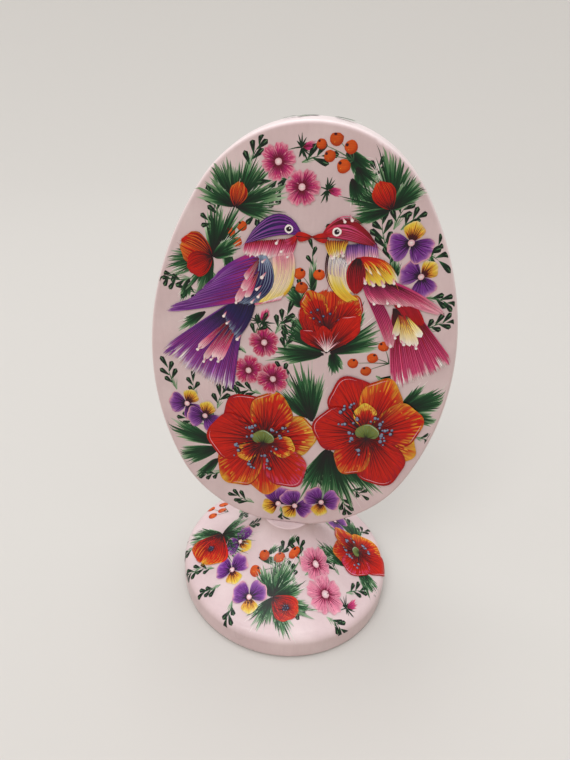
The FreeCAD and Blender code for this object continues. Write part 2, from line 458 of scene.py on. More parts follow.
    def fan(
        self, base: tuple[float, float], turn: float, spread: float, reach: float, count: int,
        width: float, blend: Blend, touch: Touch = Touch.LEAF, fall: float = 0.35,
        ragged: float = 0.18, root: float = 0.05, curl: float = 0.0, vary: float = 0.16
    ) -> None:
        """Fan marks out from a point: each leaves at turn + spread x side.

        Args:
            base: where they spring from.
            turn: the middle direction in degrees.
            spread: how far the outer marks turn from it.
            reach: the length of the middle marks.
            count: how many marks.
            width: each mark's width.
            blend: the colours from root to tip.
            touch: the marks' outline.
            fall: how much shorter the outer marks are.
            ragged: how uneven the lengths are.
            root: how far out the marks begin, as a share of their length.
            curl: how far the tips turn to one side, in degrees.
            vary: how much the marks differ in lightness.
        """
        side = np.linspace(-1.0, 1.0, count) + self.rng.normal(0.0, 0.6 / count, count)
        length = reach * (1.0 - fall * side**2) * (1.0 + self.rng.normal(0.0, ragged, count))
        order = self.rng.permutation(count)
        side, length = side[order], length[order]
        angle = turn + spread * side
        from_here = np.array(base) + compass(angle) * (length * root)[:, None]
        bend = np.array(base) + compass(turn + spread * side * 0.8) * (length * 0.5)[:, None]
        end = np.array(base) + compass(angle + curl * (0.6 + 0.4 * side)) * length[:, None]
        wide = width * self.rng.uniform(0.75, 1.2, count)
        self.strokes(from_here, bend, end, wide, blend, touch, vary=vary, shift=0.08)

    def between(
        self, first: Array, last: Array, count: int, blend: Blend, overlap: float = 1.6,
        touch: Touch = Touch.FLAT, ragged: float = 0.05, bulge: float = 0.0, rows: int = 10,
        vary: float = 0.14, shift: float = 0.06
    ) -> None:
        """Lay marks side by side from one guide curve to another.

        Args:
            first: 3 x 2, the start, bend and end of the first mark.
            last: 3 x 2, those of the last.
            count: how many marks.
            blend: the colours along the marks.
            overlap: each mark's width as a multiple of their spacing.
            touch: the marks' outline.
            ragged: how unevenly they end, as a share of their length.
            bulge: how much longer the middle marks are, as a share.
            rows: the points along each mark.
            vary: how much the marks differ in lightness.
            shift: how much they differ in where their colours come.
        """
        first, last = np.asarray(first, float), np.asarray(last, float)
        share = np.linspace(0.0, 1.0, count)[:, None]
        guides = [first[i] * (1 - share) + last[i] * share for i in range(3)]
        gap = max(np.linalg.norm(last[i] - first[i]) for i in range(3)) / max(count - 1, 1)
        stretch = 1.0 + self.rng.normal(0.0, ragged, (count, 1)) + bulge * 4 * share * (1 - share)
        guides[2] = guides[1] + (guides[2] - guides[1]) * stretch
        order = self.rng.permutation(count)
        start, bend, end = (guide[order] for guide in guides)
        self.strokes(start, bend, end, gap * overlap, blend, touch, rows, vary, shift)

    def fill(
        self, petal: Petal, blend: Blend, left: Optional[Pigment] = None,
        right: Optional[Pigment] = None, rows: int = 12, columns: int = 17, shadow: float = 0.25
    ) -> None:
        """Fill a petal with colour that runs from its base to its edge.

        Args:
            petal: the outline.
            blend: the colours from base to edge.
            left: a colour worked in along the left flank.
            right: a colour worked in along the right flank.
            rows: the places from base to edge.
            columns: the places across.
            shadow: how much darker the flanks are.
        """
        out = np.linspace(0.03, 1.0, rows)[:, None] * np.ones((1, columns))
        side = np.sin(np.linspace(-1.0, 1.0, columns) * np.pi / 2)[None, :] * np.ones((rows, 1))
        colour = shade(blend, out + self.rng.normal(0.0, 0.04, (1, columns)))
        for pigment, flank in ((left, side), (right, -side)):
            if pigment is not None:
                worked = (np.clip(flank, 0.0, 1.0) ** 1.4 * out)[..., None] * 0.9
                colour = colour * (1 - worked) + pigment.light * worked
        colour = colour * (1.0 - shadow * np.clip(np.abs(side) - 0.55, 0, 1)[..., None] / 0.45)
        colour = colour * np.exp(self.rng.normal(0.0, 0.07, (1, columns, 1)))
        start = self.rng.uniform(0.0, 90.0, 2)
        round_edge = side * math.radians(petal.spread) * petal.reach * 0.6
        stroke = np.stack([out * petal.reach + start[0], round_edge + start[1]], axis=-1)
        bead = np.clip(1.0 - np.maximum(np.abs(side), out) ** 6, 0.0, 1.0)
        self.add_grid(petal.at(out, side)[None], np.clip(colour, 0, 1)[None], stroke[None], bead)

    def veins(
        self, petal: Petal, count: int, start: float, end: float, width: float, blend: Blend,
        ragged: float = 0.15, touch: Touch = Touch.HAIR, reachside: float = 0.88
    ) -> None:
        """Draw fine lines along a petal, from one share of its length to another.

        Args:
            petal: what they follow.
            count: how many lines.
            start: the share of the way out where they begin.
            end: where they end.
            width: the widest part of each.
            blend: the colours along them.
            ragged: how unevenly they begin and end.
            touch: the lines' outline.
            reachside: how far across the outer lines are.
        """
        side = np.linspace(-reachside, reachside, count)
        side = side + self.rng.normal(0.0, 0.35 / count, count)
        near = start + self.rng.normal(0.0, ragged * 0.3, count)
        far = end + self.rng.normal(0.0, ragged, count)
        near, far = np.clip(near, 0.02, 0.99), np.clip(far, 0.05, 0.99)
        middle = petal.at((near + far) / 2, side)
        self.strokes(petal.at(near, side), middle, petal.at(far, side), width, blend, touch)

    def rim(
        self, petal: Petal, start: float, end: float, width: float, pigment: Pigment, out: float = 0.97
    ) -> None:
        """Draw one line along part of a petal's edge.

        Args:
            petal: whose edge it is.
            start: the place across where it begins, from -1 to 1.
            end: the place where it ends.
            width: its widest part.
            pigment: its colour.
            out: how far out it lies, 1 being the very edge.
        """
        side = np.linspace(start, end, 14)[None]
        lines = petal.at(np.full_like(side, out), side)
        half = width / 2 * np.sin(np.pi * np.linspace(0.04, 0.96, 14))[None]
        colour = np.broadcast_to(pigment.light, (1, 14, 3)).copy()
        self.trail(lines, half, colour)

    def dots(self, centres: Array, radius: Array | float, blend: Blend, off: float = 0.0) -> None:
        """Press round dots: rings of radius x share about each centre.

        Args:
            centres: marks x 2.
            radius: one for all or one each.
            blend: the colours from the middle to the edge.
            off: how far the lightest place lies towards the upper left.
        """
        centres = np.atleast_2d(np.asarray(centres, float))
        marks = len(centres)
        share = np.array([0.0, 0.35, 0.7, 0.9, 1.0])
        angle = np.linspace(0.0, 360.0, 17)
        ring = compass(angle)[None, :] * share[:, None, None]
        size = np.broadcast_to(np.asarray(radius, float), (marks,))[:, None, None, None]
        wobble = 1.0 + self.rng.normal(0.0, 0.03, (marks, 1, 17, 1))
        wobble[:, :, -1] = wobble[:, :, 0]
        flat = centres[:, None, None] + ring[None] * size * wobble
        towards = ring @ (compass(125.0) * off)
        colour = shade(blend, np.clip(share[:, None] - towards, 0.0, 1.0))
        colour = np.broadcast_to(colour, (marks, 5, 17, 3)) * np.exp(
            self.rng.normal(0.0, 0.06, (marks, 1, 1, 1))
        )
        stroke = flat + self.rng.uniform(0.0, 90.0, (marks, 1, 1, 2))
        bead = np.broadcast_to((1.0 - share**2)[:, None] * 3.0, (5, 17))
        self.add_grid(flat, np.clip(colour, 0, 1), stroke, bead)

    def build(self, name: str) -> Thing:
        """Make the mesh: its points, its colours and the lie of the hairs.

        Args:
            name: the piece's name.

        Returns:
            The mesh object, linked into the scene.
        """
        points, colours, strokes, quads = (
            np.concatenate([part[i] for part in self.parts]) for i in range(4)
        )
        mesh = bpy.data.meshes.new(name)
        mesh.vertices.add(len(points))
        mesh.vertices.foreach_set("co", points.astype(np.float32).ravel())
        mesh.loops.add(quads.size)
        mesh.loops.foreach_set("vertex_index", quads.astype(np.int32).ravel())
        mesh.polygons.add(len(quads))
        mesh.polygons.foreach_set("loop_start", np.arange(0, quads.size, 4, dtype=np.int32))
        mesh.polygons.foreach_set("use_smooth", np.ones(len(quads), dtype=bool))
        paint = mesh.attributes.new("paint", "FLOAT_COLOR", "POINT")
        paint.data.foreach_set("color", np.insert(colours, 3, 1.0, axis=1).astype(np.float32).ravel())
        lie = mesh.uv_layers.new(name="hairs")
        lie.data.foreach_set("uv", strokes[quads.ravel()].astype(np.float32).ravel())
        mesh.update()
        mesh.validate()
        piece = bpy.data.objects.new(name, mesh)
        bpy.context.collection.objects.link(piece)
        return piece


class Motif:
    """One painted thing, drawn about its own spot."""

    def paint(self, brush: Brushwork) -> None:
        """Lay this motif's marks with the brush.

        Args:
            brush: lays the marks.
        """
        raise NotImplementedError


Point = tuple[float, float]
PINE_BLEND = ((0.0, P.SOOT), (0.25, P.PINE), (0.7, P.FIR), (1.0, P.GREEN))
PALE_LEAF = ((0.0, P.FIR), (0.45, P.GREEN), (0.8, P.SAGE), (1.0, P.MINT))
HAIR_BLEND = ((0.0, P.SOOT), (0.6, P.MAROON), (1.0, P.POPPY))


@dataclass(frozen=True)
class LeafFan(Motif):
    """Pointed green blades springing from one place, pale under dark."""

    turn: float
    spread: float
    reach: float
    count: int = 20
    width: float = 1.15
    curl: float = 0.0
    base: Point = (0.0, 0.0)

    def paint(self, brush: Brushwork) -> None:
        """Lay the pale blades first, then dark ones, then fine dark lines."""
        args = (self.base, self.turn)
        half = self.count // 2 + 4
        wide = self.width
        pale = ((0.0, P.GREEN), (0.55, P.MINT), (1.0, P.WHITE))
        brush.fan(*args, self.spread * 1.1, self.reach * 1.12, 13, 0.4, pale, Touch.HAIR, curl=self.curl)
        brush.fan(*args, self.spread, self.reach, half, wide * 1.35, PALE_LEAF, fall=0.3, curl=self.curl)
        green = ((0.0, P.PINE), (0.35, P.FIR), (0.7, P.GREEN), (1.0, P.SAGE))
        brush.fan(*args, self.spread, self.reach * 0.95, self.count, wide, green, curl=self.curl)
        brush.fan(
            *args, self.spread, self.reach * 0.98, self.count, wide * 0.62, PINE_BLEND, curl=self.curl
        )
        dark = even(P.SOOT, P.PINE, P.FIR)
        reach = self.reach * 0.72
        brush.fan(*args, self.spread * 0.9, reach, half, wide * 0.5, dark, Touch.HAIR, curl=self.curl)


@dataclass(frozen=True)
class Sprig(Motif):
    """A thin stem with small drop-shaped leaves on alternate sides."""

    turn: float
    length: float
    leaves: int = 4
    leaf: float = 3.0
    bend: float = 12.0
    dark: Pigment = P.PINE
    light: Pigment = P.GREEN

    def paint(self, brush: Brushwork) -> None:
        """Draw the stem, then press the leaves along it."""
        tip = compass(self.turn) * self.length
        pull = compass(self.turn + self.bend) * self.length * 0.55
        haze = ((0.0, P.MINT), (0.6, P.SAGE), (1.0, P.WHITE))
        brush.fan((0.0, 0.0), self.turn, 22.0, self.length * 0.85, 7, 0.3, haze, Touch.HAIR)
        stem = even(P.SAGE, P.GREEN, P.FIR)
        brush.strokes(np.zeros(2), pull, tip, 0.42, stem, Touch.HAIR)
        share = np.linspace(0.3, 1.0, self.leaves)[:, None]
        root = 2 * share * (1 - share) * pull + share**2 * tip
        sign = np.where(np.arange(self.leaves) % 2, -1.0, 1.0)
        angle = self.turn + sign * brush.rng.uniform(26, 48, self.leaves)
        angle[-1] = self.turn + sign[-1] * 12
        reach = self.leaf * brush.rng.uniform(1.25, 1.75, self.leaves)
        end = root + compass(angle) * reach[:, None]
        blend = ((0.0, self.light), (0.45, self.dark), (1.0, self.dark))
        brush.strokes(root, (root + end) / 2, end, self.leaf * 0.78, blend, Touch.DROP)
        glint = even(P.GREEN, P.SAGE)
        brush.strokes(root * 0.4 + end * 0.6, root * 0.2 + end * 0.8, end, 0.28, glint, Touch.LEAF)


@dataclass(frozen=True)
class Berries(Motif):
    """Round orange berries, each with its dark eye and stalk."""

    centres: tuple[Point, ...]
    radii: tuple[float, ...]
    heart: Point
    eye: float = 135.0

    def paint(self, brush: Brushwork) -> None:
        """Draw the stalks, press the berries, and touch in eyes and lights."""
        spots = np.array(self.centres)
        radii = np.array(self.radii)
        heart = np.array(self.heart)
        stalk = even(P.FIR, P.SAGE)
        brush.strokes(heart, (heart + spots) / 2 + 0.5, spots, 0.34, stalk, Touch.HAIR)
        body = ((0.0, P.ORANGE), (0.7, P.BERRY), (1.0, P.RUST))
        brush.dots(spots, radii, body, off=0.35)
        flare = compass(brush.rng.uniform(190, 330, len(spots))) * radii[:, None]
        glow = even(P.AMBER, P.ORANGE)
        brush.strokes(spots + flare * 0.65, spots + flare * 0.3, spots - flare * 0.3, 0.5, glow)
        eye = spots + compass(self.eye + brush.rng.uniform(-40, 40, len(spots))) * radii[:, None] * 0.7
        brush.dots(eye, radii * 0.24, even(P.SOOT, P.MAROON))


@dataclass(frozen=True)
class PinkFlower(Motif):
    """An open flower of round pink petals with dark veins and a white heart."""

    reach: float = 4.7
    petals: int = 5
    turn: float = 90.0
    outer: Pigment = P.ROSE

    def paint(self, brush: Brushwork) -> None:
        """Paint each petal and its veins, then the heart."""
        blend = (
            (0.0, P.CRIMSON),
            (0.28, P.ROSE if self.outer is P.BLUSH else P.MAGENTA),
            (0.55, self.outer if self.outer is P.BLUSH else P.FUCHSIA),
            (0.85, self.outer),
            (1.0, P.PALE_PINK),
        )
        tip = even(self.outer, P.PALE_PINK)
        for index in range(self.petals):
            turn = self.turn + 360.0 / self.petals * index
            reach = self.reach * brush.rng.uniform(0.93, 1.08)
            spread = 215.0 / self.petals
            petal = Petal(0.0, 0.0, turn, reach, spread, 3.6, 0.05, 4.0, brush.rng.uniform(-1, 1))
            brush.fill(petal, blend, right=P.PALE_PINK if index % 2 else None)
            brush.veins(petal, 7, 0.62, 0.97, 0.34, tip, touch=Touch.LEAF)
            brush.veins(petal, 9, 0.1, 0.66, 0.34, even(P.MAROON, P.MAGENTA))
        brush.dots((0.0, 0.0), self.reach * 0.2, even(P.WHITE, P.PALE_PINK))


@dataclass(frozen=True)
class Pansy(Motif):
    """A violet pansy with one yellow petal, dark whiskers and a white heart."""

    reach: float = 6.0
    yellow: float = 90.0
    side: bool = False

    def paint(self, brush: Brushwork) -> None:
        """Paint the yellow petal, then the violet ones over it, then the heart."""
        gold = ((0.0, P.CRIMSON), (0.3, P.AMBER), (0.6, P.YOLK), (0.9, P.LEMON), (1.0, P.CREAM))
        violet = ((0.0, P.PLUM), (0.35, P.VIOLET), (0.75, P.VIOLET), (0.9, P.LILAC), (1.0, P.PALE_PINK))
        whisker = ((0.0, P.SOOT), (0.6, P.MAROON), (1.0, P.SCARLET))
        dusk = even(P.SOOT, P.PLUM)
        pale = even(P.VIOLET, P.LILAC)
        lobe = Petal(0.0, 0.0, self.yellow, self.reach * 0.9, 50.0, 3.4, 0.06, 2.0)
        brush.fill(lobe, gold, right=P.AMBER)
        brush.veins(lobe, 7, 0.55, 0.95, 0.4, even(P.AMBER, P.LEMON))
        brush.veins(lobe, 13, 0.1, 0.78, 0.36, whisker)
        wings = (-100.0, -152.0) if self.side else (116.0, -116.0)
        for wing in wings:
            petal = Petal(0.0, 0.0, self.yellow + wing, self.reach * 1.06, 58.0, 3.4, 0.04, 3.0, 0.5)
            brush.fill(petal, violet, left=P.LILAC if wing > 0 else None)
            brush.veins(petal, 9, 0.5, 0.97, 0.36, pale, touch=Touch.LEAF, reachside=0.95)
            brush.veins(petal, 11, 0.08, 0.74, 0.36, dusk)
            brush.rim(petal, -0.85, 0.1, 0.3, P.PALE_PINK)
        brush.dots((0.0, 0.0), self.reach * 0.15, even(P.WHITE, P.PALE_PINK))


@dataclass(frozen=True)
class SmallBud(Motif):
    """A closed pink bud with spiky dark sepals on a short stalk."""

    reach: float = 4.2
    turn: float = 20.0

    def paint(self, brush: Brushwork) -> None:
        """Paint stalk, petals, then the sepals at the base."""
        back = -compass(self.turn) * self.reach
        stem = even(P.PINE, P.GREEN)
        brush.strokes(np.zeros(2), back * 0.5 + 0.3, back, 0.5, stem, Touch.HAIR)
        pink = ((0.0, P.MAROON), (0.35, P.FUCHSIA), (0.75, P.ROSE), (1.0, P.PALE_PINK))
        brush.fan((0, 0), self.turn, 24.0, self.reach, 7, 1.5, pink, Touch.COMMA, fall=0.2, ragged=0.06)
        line = even(P.MAROON, P.MAGENTA)
        brush.fan((0, 0), self.turn, 20.0, self.reach * 0.7, 6, 0.3, line, Touch.HAIR)
        spike = even(P.PINE, P.FIR)
        for sign in (1.0, -1.0):
            place = tuple(back * 0.08)
            brush.fan(place, self.turn + sign * 78, 42.0, self.reach * 0.85, 6, 0.5, spike, Touch.LEAF)


@dataclass(frozen=True)
class PoppyBud(Motif):
    """A closed poppy bud: overlapping red petals streaked from a dark base."""

    reach: float = 7.0
    width: float = 34.0
    turn: float = 90.0
    warm: Pigment = P.ORANGE
    glow: Pigment = P.AMBER
    fans: tuple[tuple[float, float, float], ...] = ()
    heart: float = 0.0

    def paint(self, brush: Brushwork) -> None:
        """Paint the fans of leaves, then back, side and front petals."""
        for turn, spread, reach in self.fans:
            LeafFan(turn, spread, reach, 16, 1.0).paint(brush)
        red = ((0.0, P.SOOT), (0.2, P.POPPY), (0.7, P.SCARLET), (0.92, self.warm), (1.0, self.glow))
        deep = ((0.0, P.SOOT), (0.3, P.MAROON), (0.7, P.POPPY), (1.0, P.SCARLET))
        streak = ((0.0, P.POPPY), (0.6, self.warm), (1.0, self.glow))
        for near, far, blend in ((-1.0, 0.35, red), (-0.3, 1.0, red), (-1.0, -0.1, deep), (0.25, 0.95, red)):
            first, last = self.guide(near), self.guide(far)
            many = 10 + int(self.reach * 1.4)
            brush.between(first, last, many, blend, 2.1, Touch.FLAT, 0.03, 0.08)
            brush.between(first, last, many // 3, streak, 0.45, Touch.LEAF, 0.15)
            brush.between(first, last, many // 2, HAIR_BLEND, 0.32, Touch.HAIR, 0.2, -0.5)
        if self.heart > 0.0:
            centre = compass(self.turn) * self.reach * self.heart
            spots = centre + compass(np.arange(0, 360, 60.0)) * 0.9
            brush.fan(tuple(centre), 0.0, 180.0, 3.4, 30, 0.4, HAIR_BLEND, Touch.HAIR, fall=0.0)
            blue = even(P.SLATE, P.NAVY, P.SOOT)
            brush.dots(np.concatenate([spots, centre[None]]), brush.rng.uniform(0.3, 0.55, 7), blue, 0.3)

    def guide(self, side: float) -> Array:
        """One streak's guide: from the base, bulging to one side, to the blunt tip.

        Args:
            side: which flank, from -1 to 1.

        Returns:
            3 x 2, the streak's start, bend and end.
        """
        ahead, across = compass(self.turn), compass(self.turn + 90.0)
        half = self.reach * math.tan(math.radians(self.width * 0.5))
        middle = ahead * self.reach * 0.5 + across * side * half * 1.6
        tip = ahead * self.reach * (1.0 - 0.16 * side**2) + across * side * half * 0.78
        return np.array([np.zeros(2), middle, tip])


@dataclass(frozen=True)
class OpenPetal:
    """One petal of an open poppy and how its edge is coloured."""

    turn: float
    reach: float
    spread: float
    edge: Pigment
    warm: Pigment = P.ORANGE
    flank: Optional[Pigment] = None
    rim: Optional[tuple[float, float]] = None
    base: Point = (0.0, 0.0)
    fullness: float = 1.6

    def paint(self, brush: Brushwork) -> None:
        """Fill it, streak its edge light and its base dark, and line its rim.

        Args:
            brush: lays the marks.
        """
        spread = self.spread * self.fullness
        petal = Petal(*self.base, self.turn, self.reach * 1.02, spread, 2.0, 0.03, 3.0, 0.4)
        red = (
            (0.0, P.SOOT),
            (0.13, P.MAROON),
            (0.36, P.POPPY),
            (0.8, P.SCARLET),
            (0.95, self.warm),
            (1.0, self.edge),
        )
        brush.fill(petal, red, self.flank, P.CRIMSON, 16, 49, 0.75)
        streak = ((0.0, P.POPPY), (0.6, P.SCARLET), (1.0, self.warm))
        brush.veins(petal, 22, 0.35, 0.88, 0.55, streak, 0.2, Touch.LEAF, 0.8)
        bright = even(self.warm, self.edge)
        brush.veins(petal, 20, 0.76, 0.985, 0.6, bright, 0.1, Touch.LEAF, 0.85)
        brush.veins(petal, 15, 0.3, 0.92, 0.34, even(P.MAROON, P.POPPY), 0.25)
        brush.veins(petal, 17, 0.12, 0.64, 0.36, HAIR_BLEND, 0.25)
        if self.rim is not None:
            brush.rim(petal, self.rim[0], self.rim[1], 0.42, P.POPPY, 0.985)
            brush.rim(petal, self.rim[0] * 0.7, self.rim[1] * 0.6, 0.2, P.PALE_PINK, 0.95)


@dataclass(frozen=True)
class Poppy(Motif):
    """A wide-open poppy: petals, small inner petals, hairs, stamens and pod."""

    outer: tuple[OpenPetal, ...]
    inner: tuple[OpenPetal, ...]
    stamens: tuple[Point, ...]
    pod: float = 3.6
    heart: float = 8.0

    def paint(self, brush: Brushwork) -> None:
        """Paint from the back of the flower to its pod."""
        for petal in self.outer:
            petal.paint(brush)
        brush.fan((0, 0), 0.0, 180.0, self.heart, 64, 0.5, HAIR_BLEND, Touch.HAIR, fall=0.0, ragged=0.3)
        for petal in self.inner:
            petal.paint(brush)
        dusk = ((0.0, P.SOOT), (0.7, P.MAROON), (1.0, P.POPPY))
        spots = np.array(self.stamens)
        near = spots * 0.3
        brush.strokes(near, spots * 0.6, spots, 0.4, even(P.SOOT, P.SOOT), Touch.FLAT)
        brush.dots(spots + 0.2, 1.0, dusk)
        scatter = spots[:, None] + brush.rng.normal(0.0, 0.95, (len(spots), 2, 2))
        scatter = np.concatenate([spots, scatter.reshape(-1, 2)])
        size = brush.rng.uniform(0.34, 0.5, len(scatter))
        size[: len(spots)] = brush.rng.uniform(0.55, 0.8, len(spots))
        brush.dots(scatter, size, ((0.0, P.SLATE), (0.6, P.SLATE), (1.0, P.NAVY)), 0.3)
        self.paint_pod(brush)

    def paint_pod(self, brush: Brushwork) -> None:
        """Paint the green pod as a rounded cup with dark hairs below it.

        Args:
            brush: lays the marks.
        """
        lobe = Petal(0.0, -self.pod * 0.45, 90.0, self.pod * 1.45, 84.0, 3.2, 0.03, 3.0)
        green = ((0.0, P.FIR), (0.4, P.MOSS), (0.8, P.OLIVE), (1.0, P.OLIVE))
        brush.fill(lobe, green)
        light = even(P.MOSS, P.SAGE)
        brush.veins(lobe, 11, 0.4, 0.92, 0.3, light, touch=Touch.LEAF)
        brush.veins(lobe, 9, 0.1, 0.6, 0.36, even(P.SOOT, P.MOSS))
        brush.rim(lobe, -0.8, 0.2, 0.28, P.MINT, 0.93)
        foot = (0.0, -self.pod * 0.3)
        brush.fan(foot, -90.0, 96.0, self.pod * 1.25, 26, 0.42, HAIR_BLEND, Touch.HAIR, fall=0.1)


@dataclass(frozen=True)
class Feathers:
    """A row of brush marks between two guide marks, with its colours."""

    first: tuple[Point, Point, Point]
    last: tuple[Point, Point, Point]
    count: int
    blend: Blend
    overlap: float = 1.9
    touch: Touch = Touch.FLAT
    ragged: float = 0.05
    bulge: float = 0.0

    def paint(self, brush: Brushwork) -> None:
        """Lay the row from the first guide mark to the last."""
        marks = (self.first, self.last, self.count, self.blend)
        brush.between(*marks, self.overlap, self.touch, self.ragged, self.bulge)


@dataclass(frozen=True)
class Plumes:
    """Separate round-tipped feathers, each given by its root and its tip."""

    marks: tuple[tuple[Point, Point], ...]
    width: float
    blend: Blend
    touch: Touch = Touch.DROP

    def paint(self, brush: Brushwork) -> None:
        """Lay each feather and two fine lines along it.

        Args:
            brush: lays the marks.
        """
        root = np.array([mark[0] for mark in self.marks], float)
        tip = np.array([mark[1] for mark in self.marks], float)
        brush.strokes(root, (root + tip) / 2, tip, self.width, self.blend, self.touch, rows=12)
        line = ((0.0, P.MAROON), (1.0, self.blend[-2][1]))
        for side in (-0.18, 0.18):
            out = (tip - root)[:, ::-1] * np.array([-side, side]) * 0.35
            brush.strokes(root, root * 0.5 + tip * 0.5 + out, root * 0.3 + tip * 0.7, 0.26, line, Touch.HAIR)


@dataclass(frozen=True)
class Bird(Motif):
    """A bird in profile: rows of feathers from tail to cap, then beak and eye."""

    rows: tuple[Feathers | Plumes, ...]
    pearls: tuple[Point, ...]
    beak: tuple[tuple[Point, Point], ...]
    beak_width: float
    eye: Point
    sweep: float

    def paint(self, brush: Brushwork) -> None:
        """Paint the rows in order, then the white tips, the beak and the eye."""
        for row in self.rows:
            row.paint(brush)
        pearl = ((0.0, P.WHITE), (0.8, P.WHITE), (1.0, P.PALE_PINK))
        spots = np.array(self.pearls, float)
        sizes = brush.rng.uniform(0.5, 0.8, len(spots))
        turns = self.sweep + brush.rng.uniform(-12, 12, len(spots))
        roots = spots + compass(turns) * sizes[:, None] * 3.0
        milk = even(P.ROSE, P.PALE_PINK, P.WHITE)
        brush.strokes(roots, (roots + spots) / 2, spots, sizes * 1.3, milk, Touch.DROP, vary=0.05)
        brush.dots(spots, sizes * 0.74, pearl)
        root = np.array([mark[0] for mark in self.beak], float)
        tip = np.array([mark[1] for mark in self.beak], float)
        horn = even(P.CRIMSON, P.SCARLET, P.MAROON)
        brush.strokes(root, (root + tip) / 2, tip, self.beak_width, horn, Touch.COMMA)
        slit = even(P.SOOT, P.MAROON)
        brush.strokes(root.mean(0), (root + tip).mean(0) / 2, tip.mean(0), 0.26, slit, Touch.HAIR)
        brush.dots(self.eye, 1.3, even(P.WHITE, P.WHITE))
        brush.dots(self.eye, 0.82, ((0.0, P.SOOT), (0.75, P.SOOT), (1.0, P.NAVY)))
        glint = np.array(self.eye) + 0.24
        brush.dots(glint, 0.22, even(P.WHITE, P.WHITE))


